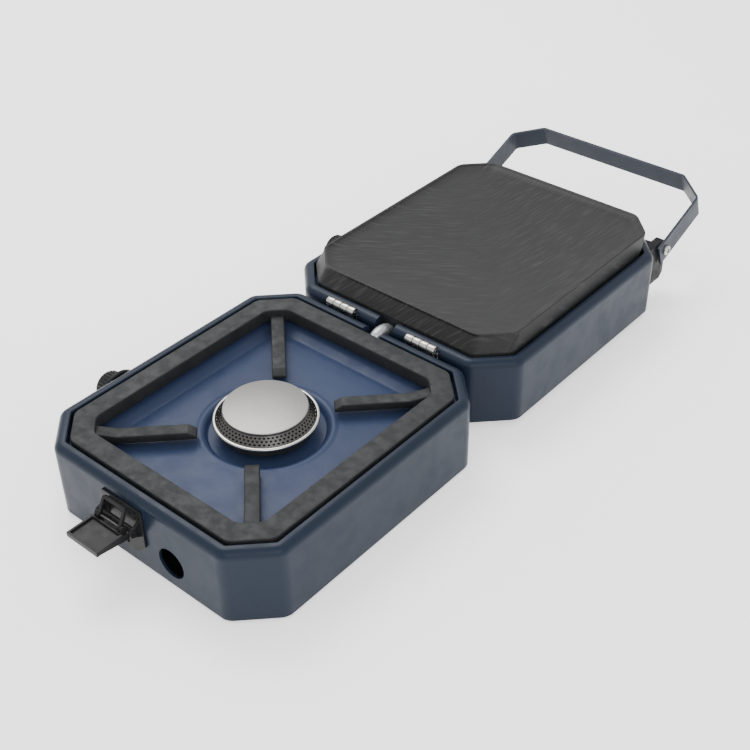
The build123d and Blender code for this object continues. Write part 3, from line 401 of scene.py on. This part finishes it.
# ------------------------------------------------------------------ finishes
class Finish:
    """A procedural surface on Object coordinates, put together one effect at a time."""

    def __init__(self, name, roughness, metallic=0.0, specular=0.5):
        self.material = bpy.data.materials.new(name)
        self.material.use_nodes = True
        self.nodes = self.material.node_tree.nodes
        self.links = self.material.node_tree.links
        self.shader = self.nodes["Principled BSDF"]
        self.shader.inputs["Roughness"].default_value = roughness
        self.shader.inputs["Metallic"].default_value = metallic
        self.shader.inputs["Specular IOR Level"].default_value = specular
        self.coordinates = self.nodes.new("ShaderNodeTexCoord")

    def mapped(self, scale, turn):
        """Object coordinates stretched by scale along axes that are turned."""
        mapping = self.nodes.new("ShaderNodeMapping")
        mapping.vector_type = "TEXTURE"
        mapping.inputs["Scale"].default_value = [1 / size for size in scale]
        mapping.inputs["Rotation"].default_value = turn
        self.links.new(self.coordinates.outputs["Object"], mapping.inputs["Vector"])
        return mapping.outputs["Vector"]

    def noise(self, scale, detail, stretch=(1, 1, 1), turn=(0, 0, 0), low=0.35, high=0.65):
        """Noise spread over 0 to 1 between low and high."""
        texture = self.nodes.new("ShaderNodeTexNoise")
        texture.inputs["Scale"].default_value = scale
        texture.inputs["Detail"].default_value = detail
        self.links.new(self.mapped(stretch, turn), texture.inputs["Vector"])
        return self.spread(texture.outputs["Fac"], low, high)

    def spread(self, value, low, high, to_low=0.0, to_high=1.0):
        """Value carried from the range low to high on to the range to_low to to_high."""
        spread = self.nodes.new("ShaderNodeMapRange")
        for key, number in (("From Min", low), ("From Max", high), ("To Min", to_low),
                            ("To Max", to_high)):
            spread.inputs[key].default_value = number
        self.links.new(value, spread.inputs["Value"])
        return spread.outputs["Result"]

    def math(self, operation, first, second=None):
        """One sum of numbers or sockets."""
        node = self.nodes.new("ShaderNodeMath")
        node.operation = operation
        for index, value in enumerate((first, second)):
            if value is None:
                continue
            if isinstance(value, (int, float)):
                node.inputs[index].default_value = value
            else:
                self.links.new(value, node.inputs[index])
        return node.outputs["Value"]

    def separate(self):
        """The Object coordinates one by one."""
        split = self.nodes.new("ShaderNodeSeparateXYZ")
        self.links.new(self.coordinates.outputs["Object"], split.inputs["Vector"])
        return split.outputs

    def colour(self, dark, light, amount, under=None):
        """Base colour between dark and light by amount; under lays it over an earlier colour."""
        mix = self.nodes.new("ShaderNodeMix")
        mix.data_type = "RGBA"
        mix.inputs["A"].default_value = (*dark, 1)
        mix.inputs["B"].default_value = (*light, 1)
        if under is not None:
            self.links.new(under, mix.inputs["A"])
        self.links.new(amount, mix.inputs["Factor"])
        self.links.new(mix.outputs["Result"], self.shader.inputs["Base Color"])
        return mix.outputs["Result"]

    def roughness(self, amount, smooth_end, rough_end):
        """Roughness from smooth_end to rough_end by amount."""
        self.links.new(self.spread(amount, 0, 1, smooth_end, rough_end),
                       self.shader.inputs["Roughness"])

    def bump(self, height, depth, strength):
        """Lift the surface by height times depth, in metres."""
        bump = self.nodes.new("ShaderNodeBump")
        bump.inputs["Distance"].default_value = depth
        bump.inputs["Strength"].default_value = strength
        self.links.new(height, bump.inputs["Height"])
        self.links.new(bump.outputs["Normal"], self.shader.inputs["Normal"])


def shade(base, factor):
    """The colour made darker or lighter by a factor."""
    return [factor * c for c in base]


def navy_paint(tint=(1, 1, 1), name="navy_powder_coat"):
    """Satin powder coat with a faint orange peel and slight fading."""
    base = settings().colours.paint
    finish = Finish(name, 0.4, specular=0.16)
    dark = [0.92 * c * t for c, t in zip(base, tint)]
    light = [1.08 * c * t for c, t in zip(base, tint)]
    finish.colour(dark, light, finish.noise(scale=9, detail=4))
    finish.roughness(finish.noise(scale=60, detail=3), smooth_end=0.3, rough_end=0.42)
    finish.bump(finish.noise(scale=700, detail=2), depth=0.06 * MM, strength=0.5)
    return finish.material


def cast_iron(name="cast_iron"):
    """Sand-cast iron, seasoned: fine pits and slightly lighter worn patches."""
    base = settings().colours.iron
    finish = Finish(name, 0.6, specular=0.3)
    finish.colour(shade(base, 0.86), shade(base, 1.1), finish.noise(scale=45, detail=5))
    finish.roughness(finish.noise(scale=120, detail=3), smooth_end=0.5, rough_end=0.72)
    finish.bump(finish.noise(scale=900, detail=4), depth=0.16 * MM, strength=0.6)
    return finish.material


def griddle_coat():
    """Dark non-stick coat with fine rub marks that slant one way on the near side, the other beyond."""
    base = settings().colours.griddle
    finish = Finish("griddle_coat", 0.5, specular=0.24)
    one_way, other_way = [
        finish.noise(scale=38, detail=4, stretch=(1, 22, 1), turn=(0, 0, radians(slant)), low=0.52,
                     high=0.70)
        for slant in (36, 84)]
    split = finish.separate()
    from_middle = finish.math("SUBTRACT", LID_MIDDLE, split["Y"])
    side = finish.spread(finish.math("SUBTRACT", split["X"], from_middle), -0.05, 0.06)
    near_side = finish.math("MULTIPLY", one_way, finish.math("SUBTRACT", 1.0, side))
    marks = finish.math("MAXIMUM", near_side, finish.math("MULTIPLY", other_way, side))
    cloud = finish.noise(scale=7, detail=2)
    first = finish.colour(shade(base, 0.86), shade(base, 1.12), cloud)
    finish.colour(base, shade(base, 5.0), finish.math("MULTIPLY", marks, 0.7), under=first)
    finish.roughness(marks, smooth_end=0.46, rough_end=0.58)
    finish.bump(finish.noise(scale=1100, detail=2), depth=0.04 * MM, strength=0.5)
    return finish.material


def stainless(name, base, roughness, turned_about=None):
    """Brushed stainless: its grain runs along X, or in rings about the upright axis at this Y."""
    finish = Finish(name, roughness, metallic=1.0)
    if turned_about is None:
        grain = finish.noise(scale=220, detail=2, stretch=(0.06, 1, 1))
    else:
        split = finish.separate()
        across = finish.math("SUBTRACT", split["Y"], turned_about)
        squares = [finish.math("MULTIPLY", value, value) for value in (split["X"], across)]
        radius = finish.math("SQRT", finish.math("ADD", *squares))
        texture = finish.nodes.new("ShaderNodeTexNoise")
        texture.noise_dimensions = "1D"
        texture.inputs["Scale"].default_value = 1400
        texture.inputs["Detail"].default_value = 3
        finish.links.new(radius, texture.inputs["W"])
        grain = finish.spread(texture.outputs["Fac"], 0.3, 0.7)
    finish.colour(shade(base, 0.82), [min(1, 1.08 * c) for c in base], grain)
    finish.roughness(grain, smooth_end=0.85 * roughness, rough_end=1.15 * roughness)
    finish.bump(grain, depth=0.012 * MM, strength=0.5)
    return finish.material


def black_gloss(name="black_gloss_paint", roughness=0.25):
    """Black paint or plastic, with faint smears."""
    finish = Finish(name, roughness, specular=0.1)
    finish.colour((0.011, 0.011, 0.012), (0.016, 0.016, 0.017), finish.noise(scale=60, detail=4))
    finish.roughness(finish.noise(scale=90, detail=3), smooth_end=roughness * 0.8,
                     rough_end=roughness * 1.4)
    finish.bump(finish.noise(scale=600, detail=2), depth=0.04 * MM, strength=0.5)
    return finish.material


def brass():
    """Dull turned brass."""
    finish = Finish("brass", 0.35, metallic=1.0)
    finish.colour((0.42, 0.29, 0.12), (0.66, 0.48, 0.22), finish.noise(scale=80, detail=4))
    finish.roughness(finish.noise(scale=140, detail=3), smooth_end=0.28, rough_end=0.48)
    return finish.material


def copper_tube():
    """Drawn copper, tarnished in patches."""
    finish = Finish("copper_tube", 0.35, metallic=1.0)
    finish.colour((0.45, 0.22, 0.12), (0.66, 0.36, 0.22), finish.noise(scale=60, detail=4))
    finish.roughness(finish.noise(scale=140, detail=3), smooth_end=0.25, rough_end=0.45)
    return finish.material


def foot_rubber():
    """Black rubber with a fine grain."""
    finish = Finish("foot_rubber", 0.8)
    finish.colour((0.012, 0.012, 0.012), (0.03, 0.03, 0.03), finish.noise(scale=120, detail=4))
    finish.bump(finish.noise(scale=900, detail=2), depth=0.05 * MM, strength=0.5)
    return finish.material


def braided_wire():
    """Fine wire sleeve: silver streaks that run along the hose at a slant, with dull patches."""
    finish = Finish("braided_wire", 0.38, metallic=0.85)
    streaks = finish.noise(scale=1500, detail=3, stretch=(1, 0.10, 0.3), turn=(0, 0, radians(14)),
                           low=0.3, high=0.7)
    dusty = finish.noise(scale=160, detail=3, low=0.3, high=0.7)
    first = finish.colour((0.24, 0.25, 0.26), (0.60, 0.62, 0.64), streaks)
    finish.colour((0.5, 0.5, 0.5), (0.22, 0.22, 0.22), finish.math("MULTIPLY", dusty, 0.35),
                  under=first)
    finish.bump(streaks, depth=0.12 * MM, strength=0.6)
    return finish.material


def floor_finish():
    """Matte white floor that glows a little, as a lit studio floor does."""
    finish = Finish("studio_floor", 0.9, specular=0.1)
    finish.colour((0.93, 0.93, 0.93), (0.95, 0.95, 0.95), finish.noise(scale=3, detail=2))
    finish.shader.inputs["Emission Color"].default_value = (1, 1, 1, 1)
    finish.shader.inputs["Emission Strength"].default_value = 0.8
    return finish.material


# ------------------------------------------------------------------ sizes and colours in the panel
def colour_property(name, description, default):
    """One colour in the panel."""
    return FloatVectorProperty(name=name, description=description, subtype="COLOR", size=3,
                               min=0, max=1, default=default)


class GrillColours(bpy.types.PropertyGroup):
    """Base colours of the finishes."""
    paint: colour_property("Paint", "Powder coat of cases, trays and handle", (0.009, 0.015, 0.028))
    iron: colour_property("Iron", "Cast pan supports", (0.015, 0.016, 0.017))
    griddle: colour_property("Griddle", "Coated griddle plate", (0.009, 0.009, 0.0095))
    steel: colour_property("Steel", "Burner discs and skirts", (0.22, 0.215, 0.205))


class GrillSizes(bpy.types.PropertyGroup):
    """Sizes that the modelled pieces take."""
    edge: FloatProperty(name="Edge", description="Rounding of the griddle's edges, times 0.8",
                        unit="LENGTH", default=0.9 * MM, min=0.1 * MM, max=2 * MM)
    skirt_columns: IntProperty(name="Skirt columns", default=132, min=24, max=240,
                               description="Columns of the burner skirt, every other one bored")
    skirt_rows: IntProperty(name="Skirt rows", default=7, min=3, max=15,
                            description="Rows of the burner skirt, every other one bored")
    knob_ribs: IntProperty(name="Knob ribs", description="Grip ribs round each knob", default=24,
                           min=8, max=60)
    hose: FloatProperty(name="Hose", description="Radius of the braided hose", unit="LENGTH",
                        default=6.0 * MM, min=2 * MM, max=8 * MM)


class GrillSettings(bpy.types.PropertyGroup):
    colours: PointerProperty(type=GrillColours)
    sizes: PointerProperty(type=GrillSizes)


# ------------------------------------------------------------------ operators, one for each group
class GRILL_OT_cases(bpy.types.Operator):
    """Paint the two cases and finish their covers, feet and screws"""
    bl_idname = "grill.cases"
    bl_label = "Cases and covers"

    def execute(self, context):
        paint_nodes(navy_paint(), "base_case", "lid_case")
        paint_nodes(black_gloss("cover_paint", 0.45), "base_bottom_cover", "lid_bottom_cover")
        paint_nodes(foot_rubber(), "base_feet", "lid_feet")
        paint_nodes(stainless("plain_steel", (0.55, 0.55, 0.54), 0.35), "base_cover_screws",
                    "lid_cover_screws", "base_tray_nuts", "lid_tray_nuts", "base_valve_spindle",
                    "lid_valve_spindle")
        return {"FINISHED"}


class GRILL_OT_trays(bpy.types.Operator):
    """Press the trays: a flange, soft slopes, a beaded ring and the sunk well"""
    bl_idname = "grill.trays"
    bl_label = "Trays"

    def execute(self, context):
        low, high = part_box("base_tray")
        top = high[2]
        floor = top - TRAY_DEPTH
        finish = navy_paint((2.8, 2.6, 3.0), "tray_enamel")
        tray = octagon("base_pressed_tray", 0, high[0], high[1], corner_at(HALF_X - high[0]), top,
                       TRAY_ROUNDING)
        carry_in(tray, 0, (TRAY_FLANGE, 0), *outline(TRAY_TOP_BEND_STEPS),
                 (TRAY_SLOPE, -(top - floor) + TRAY_BENDS_DROP), *outline(TRAY_FOOT_BEND_STEPS))
        bpy.ops.object.mode_set(mode="OBJECT")
        well = turned("well", (0, 0), outline(WELL, 0, floor))
        tray = join([tray, well], "base_pressed_tray")

        def on_seam(a, b):
            """Whether an edge at the floor's level bounds the gap between slope and well."""
            level = abs(a.z - floor) < 0.02 * MM and abs(b.z - floor) < 0.02 * MM
            near, far = sorted((a.xy.length, b.xy.length))
            return level and (near > WELL_SEAM_OUT or far < WELL_SEAM_IN)

        pick(tray, on_seam, "EDGE")
        bpy.ops.mesh.fill(use_beauty=True)
        bpy.ops.object.mode_set(mode="OBJECT")
        tidy_mesh(tray)
        modify(tray, "SOLIDIFY", thickness=SHEET, offset=-1)
        smooth(tray, 50)
        pick(tray, lambda c, n: abs(n.z) > 0.9999 and c.xy.length < TRAY_FLAT_REACH)
        bpy.ops.mesh.faces_shade_flat()
        bpy.ops.object.mode_set(mode="OBJECT")
        twin = copy_to(tray, "lid_pressed_tray", (0, LID_MIDDLE, 0))
        done(tray, "base", finish, "base_tray")
        done(twin, "lid", finish, "lid_tray")
        return {"FINISHED"}


def make_arm(way_x, way_y, root, top):
    """One arm of the cast support: it drops from the ring and runs level towards the burner."""
    deselect()
    bpy.ops.mesh.primitive_cube_add(
        size=1, location=(ARM_REACH / 2 - ARM_ROOT_OVERLAP / 2, 0, top - ARM_DROP))
    arm = take_new("arm")
    arm.scale = (ARM_REACH + ARM_ROOT_OVERLAP, ARM_WIDTH, ARM_THICKNESS)
    settle(arm)
    bpy.ops.object.mode_set(mode="EDIT")
    for cut in (*ARM_CUTS, ARM_REACH - ARM_TIP):
        bpy.ops.mesh.select_all(action="SELECT")
        bpy.ops.mesh.bisect(plane_co=(cut, 0, 0), plane_no=(1, 0, 0))
    high = top - ARM_TOP_DROP
    root_end, neck_end = 8 * MM, 12 * MM
    upper, lower = high - 1 * MM, high - 5 * MM
    for test, rise in (
            (lambda p, n: p.x < root_end and p.z > upper, ARM_ROOT_TOP_RISE),
            (lambda p, n: p.x < root_end and p.z < lower, ARM_ROOT_FOOT_RISE),
            (lambda p, n: root_end < p.x < neck_end and p.z > upper, ARM_NECK_RISE),
            (lambda p, n: p.x > ARM_REACH - 1 * MM and p.z > upper, ARM_TIP_RISE)):
        pick(arm, test, "POINT")
        bpy.ops.transform.translate(value=(0, 0, rise))
    bpy.ops.object.mode_set(mode="OBJECT")
    soften(arm, ARM_EDGE, 3, 25)
    arm.rotation_euler = (0, 0, atan2(-way_y, -way_x))
    arm.location = (way_x * root[0], way_y * root[1], 0)
    settle(arm)
    return arm


class GRILL_OT_pan_supports(bpy.types.Operator):
    """Cast the two pan supports: a hollow-backed ring with four dipping arms"""
    bl_idname = "grill.pan_supports"
    bl_label = "Pan supports"

    def execute(self, context):
        low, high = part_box("base_pan_support")
        top = high[2]
        inset = HALF_X - high[0]
        ring = octagon("ring", 0, high[0], high[1], corner_at(inset), top, RING_ROUNDING)
        carry_in(ring, 0, (RING_WIDTH, 0), (0, -RING_DEPTH), (-RING_SKIN, 0),
                 (0, RING_DEPTH - RING_SKIN), (2 * RING_SKIN - RING_WIDTH, 0),
                 (0, RING_SKIN - RING_DEPTH), (-RING_SKIN, 0), (0, RING_DEPTH))
        bpy.ops.object.mode_set(mode="OBJECT")
        tidy_mesh(ring)
        soften(ring, RING_EDGE, 4, 50)
        inner = inset + RING_WIDTH
        cut = corner_at(inner)
        root = (HALF_X - inner - cut / 2, HALF_Y - inner - cut / 2)
        arms = [make_arm(way_x, way_y, root, top) for way_x in (-1, 1) for way_y in (-1, 1)]
        support = join([ring] + arms, "base_cast_support")
        smooth(support, 45)
        twin = copy_to(support, "lid_cast_support", (0, LID_MIDDLE, 0))
        iron = cast_iron()
        done(support, "base", iron, "base_pan_support")
        done(twin, "lid", iron, "lid_pan_support")
        return {"FINISHED"}


class GRILL_OT_burners(bpy.types.Operator):
    """Model each burner's disc, perforated skirt and rolled ring, and finish its bowl and tube"""
    bl_idname = "grill.burners"
    bl_label = "Burners"

    def execute(self, context):
        sizes = settings().sizes
        steel = tuple(settings().colours.steel)
        for half, middle in MIDDLES.items():
            low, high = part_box(half + "_burner_cap")
            top, radius = high[2], (high[0] - low[0]) / 2
            axis = (0, middle)
            disc = turned(half + "_burner_disc", axis, [
                (DISC_HOLE, top), *outline(DISC_EDGE, radius, top), (DISC_HOLE, top - DISC_THICKNESS)])

            def on_hole(a, b):
                """Whether an edge runs level round the hole at the disc's middle."""
                reach = max((end.xy - Vector((0, middle))).length for end in (a, b))
                return abs(a.z - b.z) < 1e-6 and reach < DISC_HOLE_REACH

            pick(disc, on_hole, "EDGE")
            bpy.ops.mesh.fill_holes(sides=0)
            bpy.ops.object.mode_set(mode="OBJECT")
            tidy_mesh(disc)
            smooth(disc, 22)
            done(disc, half, stainless(half + "_disc_steel", steel, 0.36, middle),
                 half + "_burner_cap")

            low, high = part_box(half + "_burner_skirt")
            rings, columns = sizes.skirt_rows, sizes.skirt_columns
            foot_radius = (high[0] - low[0]) / 2
            deselect()
            bpy.ops.mesh.primitive_cone_add(
                vertices=columns, radius1=foot_radius, radius2=radius - SKIRT_UNDER_DISC,
                depth=high[2] - low[2], end_fill_type="NOTHING",
                location=(0, middle, (high[2] + low[2]) / 2))
            skirt = take_new(half + "_perforated_skirt")
            settle(skirt)
            pick(skirt, lambda a, b: abs(a.z - b.z) > 1 * MM, "EDGE")
            bpy.ops.mesh.subdivide(number_cuts=rings - 1)
            bpy.ops.object.mode_set(mode="OBJECT")

            def is_hole(centre, normal):
                """Whether a face of the skirt is bored: odd rows, staggered from row to row."""
                column = int(((atan2(centre.y - middle, centre.x) / (2 * pi)) % 1.0) * columns)
                row = int((centre.z - low[2]) / (high[2] - low[2]) * rings)
                return row % 2 == 1 and (column + row // 2) % 2 == 0

            pick(skirt, is_hole)
            bpy.ops.mesh.delete(type="FACE")
            bpy.ops.object.mode_set(mode="OBJECT")
            modify(skirt, "SOLIDIFY", thickness=SKIRT_SHEET, offset=-1)
            smooth(skirt, 50)
            # The skirt takes the disc's steel at 0.4 of its brightness: painted shade for the shade
            # under the disc's rim.
            done(skirt, half, stainless(half + "_skirt_steel_painted_shade", shade(steel, 0.4), 0.3, middle),
                 half + "_burner_skirt")

            low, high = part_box(half + "_burner_ring")
            outer = (high[0] - low[0]) / 2
            bottom, crown = low[2], high[2]
            ring = turned(half + "_rolled_ring", axis, outline(ROLL_START, outer, bottom)
                          + outline(ROLL_CROWN, outer, crown) + outline(ROLL_FOOT, outer, bottom))
            smooth(ring, 60)
            done(ring, half, stainless(half + "_ring_steel", (0.55, 0.54, 0.50), 0.2, middle),
                 half + "_burner_ring")
        paint_nodes(cast_iron("burner_casting"), "base_burner_cup", "lid_burner_cup")
        paint_nodes(stainless("tube_steel", (0.45, 0.44, 0.42), 0.4), "base_mixer_tube",
                    "lid_mixer_tube")
        return {"FINISHED"}


class GRILL_OT_griddle(bpy.types.Operator):
    """Cast the griddle plate: raised lip, tapered walls and a hollow underside"""
    bl_idname = "grill.griddle"
    bl_label = "Griddle plate"

    def execute(self, context):
        low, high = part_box("griddle")
        deep = high[2] - low[2]
        lip_middle, foot_middle = high[1] - PLATE_HALF_Y, low[1] + PLATE_HALF_Y
        plate = octagon("griddle_plate", lip_middle, PLATE_HALF_X, PLATE_HALF_Y, PLATE_CORNER, high[2],
                        PLATE_ROUNDING)
        bpy.ops.object.mode_set(mode="OBJECT")
        outer = {point.index for point in plate.data.vertices}
        choose_loop(plate, outer)
        carry_in(plate, lip_middle, *outline(PLATE_LIP_STEPS))
        bpy.ops.mesh.edge_face_add()
        bpy.ops.object.mode_set(mode="OBJECT")
        choose_loop(plate, outer)
        carry_in(plate, lip_middle, (0, -PLATE_LIP_DROP), (0, PLATE_FOOT_RISE - deep))
        bpy.ops.transform.translate(value=(0, foot_middle - lip_middle, 0))
        bpy.ops.transform.resize(value=(high[0] / PLATE_HALF_X, 1, 1),
                                 center_override=(0, foot_middle, 0))
        carry_in(plate, foot_middle, *outline(PLATE_FOOT_STEPS))
        bpy.ops.mesh.edge_face_add()
        bpy.ops.object.mode_set(mode="OBJECT")
        tidy_mesh(plate)
        soften(plate, 0.8 * settings().sizes.edge, 3, 20)
        smooth(plate, 20)
        done(plate, "lid", griddle_coat(), "griddle")
        return {"FINISHED"}


class GRILL_OT_knobs(bpy.types.Operator):
    """Model the two valve knobs: a thin flange and a ribbed grip"""
    bl_idname = "grill.knobs"
    bl_label = "Knobs"

    def execute(self, context):
        ribs = settings().sizes.knob_ribs
        plastic = black_gloss("knob_plastic", 0.35)
        for half in MIDDLES:
            low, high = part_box(half + "_knob")
            middle_y, middle_z = (low[1] + high[1]) / 2, (low[2] + high[2]) / 2
            flange = (high[1] - low[1]) / 2
            sides = KNOB_FACES_EACH_RIB * ribs

            def on_rib(centre, normal):
                """Whether a face is in the raised half of its rib's share of the grip."""
                column = int(((atan2(centre.y, centre.x) / (2 * pi)) % 1.0) * sides)
                return (KNOB_RIBBED_LOW < centre.z < KNOB_RIBBED_HIGH
                        and centre.xy.length > KNOB_RIBBED_RADIUS
                        and column % KNOB_FACES_EACH_RIB < KNOB_FACES_EACH_RIB / 2)

            knob = turned(half + "_ribbed_knob", (0, 0), outline(KNOB_FLANGE, flange)
                          + outline(KNOB_GRIP), sides, fill=True)
            pick(knob, on_rib)
            bpy.ops.mesh.inset(thickness=KNOB_RIB_EDGE, depth=KNOB_RIB_HEIGHT)
            bpy.ops.object.mode_set(mode="OBJECT")
            tidy_mesh(knob, 0.005 * MM)
            smooth(knob, 35)
            knob.rotation_euler = (0, -pi / 2, 0)
            knob.location = (high[0], middle_y, middle_z)
            settle(knob)
            done(knob, half + "_valve_knob", plastic, half + "_knob")
        return {"FINISHED"}


class GRILL_OT_latch(bpy.types.Operator):
    """Finish the latch's plate, lever, loop and catch in glossy black"""
    bl_idname = "grill.latch"
    bl_label = "Latch"

    def execute(self, context):
        gloss = black_gloss()
        parts = ("latch_plate", "latch_lever", "latch_loop", "latch_catch")
        paint_nodes(gloss, *parts, "latch_rivets", "catch_rivets")
        paint_nodes(stainless("latch_pin_steel", (0.07, 0.07, 0.07), 0.35), "latch_lever_pin",
                    "latch_loop_pin")
        ease_nodes(0.35 * MM, *parts)
        return {"FINISHED"}


class GRILL_OT_hinges(bpy.types.Operator):
    """Finish the hinges in bright stainless"""
    bl_idname = "grill.hinges"
    bl_label = "Hinges"

    def execute(self, context):
        bright = stainless("hinge_steel", (0.50, 0.49, 0.46), 0.26)
        paint_nodes(bright, "base_hinge_leaves", "lid_hinge_leaves", "hinge_pins",
                    "base_hinge_rivets", "lid_hinge_rivets")
        ease_nodes(0.4 * MM, "base_hinge_leaves", "lid_hinge_leaves")
        return {"FINISHED"}


class GRILL_OT_handle(bpy.types.Operator):
    """Paint the bail handle and model the heads of its pivot screws"""
    bl_idname = "grill.handle"
    bl_label = "Handle"

    def execute(self, context):
        paint_nodes(navy_paint((1.9, 1.5, 1.25), "handle_paint"), "handle_strap")
        paint_nodes(black_gloss("bracket_paint", 0.4), "handle_brackets")
        ease_nodes(0.5 * MM, "handle_brackets")
        bright = stainless("screw_steel", (0.50, 0.49, 0.47), 0.22)
        paint_nodes(bright, "handle_washers")
        low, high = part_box("handle_screws")
        centre = ((low[1] + high[1]) / 2, (low[2] + high[2]) / 2)
        heads = []
        for side in (-1, 1):
            head = turned("head", (0, 0), outline(SCREW_HEAD), SCREW_SIDES, fill=True)
            smooth(head, 35)
            head.rotation_euler = (0, side * pi / 2, 0)
            head.location = (side * (high[0] - SCREW_HEAD_HEIGHT), centre[0], centre[1])
            settle(head)
            heads.append(head)
        screws = join(heads, "handle_socket_screws")
        done(screws, "lid", bright, "handle_screws")
        return {"FINISHED"}


class GRILL_OT_gas_line(bpy.types.Operator):
    """Model the braided hose between the halves and finish the pipes, valves and fittings"""
    bl_idname = "grill.gas_line"
    bl_label = "Gas line"

    def execute(self, context):
        low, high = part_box("gas_hose")
        radius = settings().sizes.hose
        level = low[2] + radius
        crown = high[2] - radius
        reach = (high[1] - low[1]) / 2
        one_side = [(reach, level), (reach * HOSE_FOOT_SHARE, level),
                    (reach * HOSE_BEND_SHARE, level + HOSE_BEND_RISE),
                    (HOSE_SHOULDER_OUT, crown - HOSE_SHOULDER_DROP),
                    (HOSE_CROWN_OUT, crown + HOSE_CROWN_RISE)]
        route = [(-y, z) for y, z in one_side] + one_side[::-1]
        curve = bpy.data.curves.new("hose_line", "CURVE")
        curve.dimensions = "3D"
        spline = curve.splines.new("NURBS")
        spline.points.add(len(route) - 1)
        for point, (y, z) in zip(spline.points, route):
            point.co = (0, HINGE_Y + y, z, 1)
        spline.order_u = 3
        spline.use_endpoint_u = True
        spline.resolution_u = 12
        curve.bevel_depth = radius
        curve.bevel_resolution = 8
        curve.use_fill_caps = True
        hose = bpy.data.objects.new("braided_hose", curve)
        bpy.context.collection.objects.link(hose)
        deselect()
        hose.select_set(True)
        bpy.context.view_layer.objects.active = hose
        bpy.ops.object.convert(target="MESH")
        hose = take_new("braided_hose")
        tidy_mesh(hose, 0.01 * MM)
        smooth(hose, 60)
        hose.data.materials.clear()
        hose.data.materials.append(braided_wire())
        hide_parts("gas_hose")
        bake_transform(hose)
        # The inlet connector is black gloss so that it reads as the dark, shaded hole it sits in:
        # painted shade.
        paint_nodes(black_gloss("inlet_painted_shade_black", 0.35), "inlet_connector")
        paint_nodes(brass(), "gas_tee", "base_hose_fitting", "lid_hose_fitting", "base_gas_jet",
                    "lid_gas_jet", "base_gas_valve", "lid_gas_valve")
        paint_nodes(copper_tube(), "base_gas_pipe", "lid_gas_pipe", "hose_feed_pipe")
        paint_nodes(stainless("ferrule_steel", (0.6, 0.6, 0.6), 0.3), "base_hose_ferrule",
                    "lid_hose_ferrule")
        return {"FINISHED"}


def area_light(name, place, power, size):
    """A round lamp that faces the grill."""
    lamp = bpy.data.lights.new(name, "AREA")
    lamp.energy = power
    lamp.shape = "DISK"
    lamp.size = size
    holder = bpy.data.objects.new(name, lamp)
    bpy.context.collection.objects.link(holder)
    holder.location = place
    holder.rotation_euler = (Vector(LIT_POINT) - Vector(place)).to_track_quat("-Z", "Y").to_euler()


class GRILL_OT_stage(bpy.types.Operator):
    """Set the pale floor, the soft studio light and the camera"""
    bl_idname = "grill.stage"
    bl_label = "Stage"

    def execute(self, context):
        deselect()
        bpy.ops.mesh.primitive_circle_add(vertices=96, radius=FLOOR_RADIUS, fill_type="NGON",
                                          location=(0, HINGE_Y, 0))
        floor = take_new("floor")
        settle(floor)
        floor.data.materials.append(floor_finish())
        world = bpy.data.worlds.new("studio")
        bpy.context.scene.world = world
        world.use_nodes = True
        background = world.node_tree.nodes["Background"]
        background.inputs["Color"].default_value = (1, 1, 1, 1)
        background.inputs["Strength"].default_value = WORLD_STRENGTH
        for light in LIGHTS:
            area_light(*light)
        turn_about, height, lean = CAMERA_TURN, CAMERA_HEIGHT, CAMERA_LEAN
        back = Vector((sin(turn_about) * cos(height), -cos(turn_about) * cos(height), sin(height)))
        right = Vector((cos(turn_about), sin(turn_about), 0))
        up = back.cross(right)
        tilted_right = cos(lean) * right + sin(lean) * up
        tilted_up = -sin(lean) * right + cos(lean) * up
        lens = bpy.data.cameras.new("camera")
        lens.sensor_width = CAMERA_SENSOR
        lens.lens = CAMERA_LENS
        lens.clip_end = CAMERA_CLIP
        camera = bpy.data.objects.new("camera", lens)
        bpy.context.collection.objects.link(camera)
        turn = Matrix((tilted_right, tilted_up, back)).transposed().to_4x4()
        camera.matrix_world = Matrix.Translation(CAMERA_TARGET + back * CAMERA_DISTANCE) @ turn
        bpy.context.scene.camera = camera
        return {"FINISHED"}


class GRILL_PT_panel(bpy.types.Panel):
    """The grill's pieces, sizes and colours"""
    bl_label = "Camp Grill"
    bl_idname = "GRILL_PT_panel"
    bl_space_type = "VIEW_3D"
    bl_region_type = "UI"
    bl_category = "Camp Grill"

    def draw(self, context):
        column = self.layout.column()
        for operator in OPERATORS:
            column.operator(operator.bl_idname)
        for group in (settings().sizes, settings().colours):
            for key in group.__annotations__:
                column.prop(group, key)


OPERATORS = (GRILL_OT_cases, GRILL_OT_trays, GRILL_OT_pan_supports, GRILL_OT_burners,
             GRILL_OT_griddle, GRILL_OT_knobs, GRILL_OT_latch, GRILL_OT_hinges, GRILL_OT_handle,
             GRILL_OT_gas_line, GRILL_OT_stage)
GROUPS = (GrillColours, GrillSizes, GrillSettings)


def register():
    for item in GROUPS + OPERATORS + (GRILL_PT_panel,):
        bpy.utils.register_class(item)
    bpy.types.Scene.camp_grill = PointerProperty(type=GrillSettings)


def unregister():
    del bpy.types.Scene.camp_grill
    for item in reversed(GROUPS + OPERATORS + (GRILL_PT_panel,)):
        bpy.utils.unregister_class(item)


def main():
    register()
    bpy.ops.grill.cases()
    bpy.ops.grill.trays()
    bpy.ops.grill.pan_supports()
    bpy.ops.grill.burners()
    bpy.ops.grill.griddle()
    bpy.ops.grill.knobs()
    bpy.ops.grill.latch()
    bpy.ops.grill.hinges()
    bpy.ops.grill.handle()
    bpy.ops.grill.gas_line()
    bpy.ops.grill.stage()
    deselect()


if __name__ == "__main__":
    main()
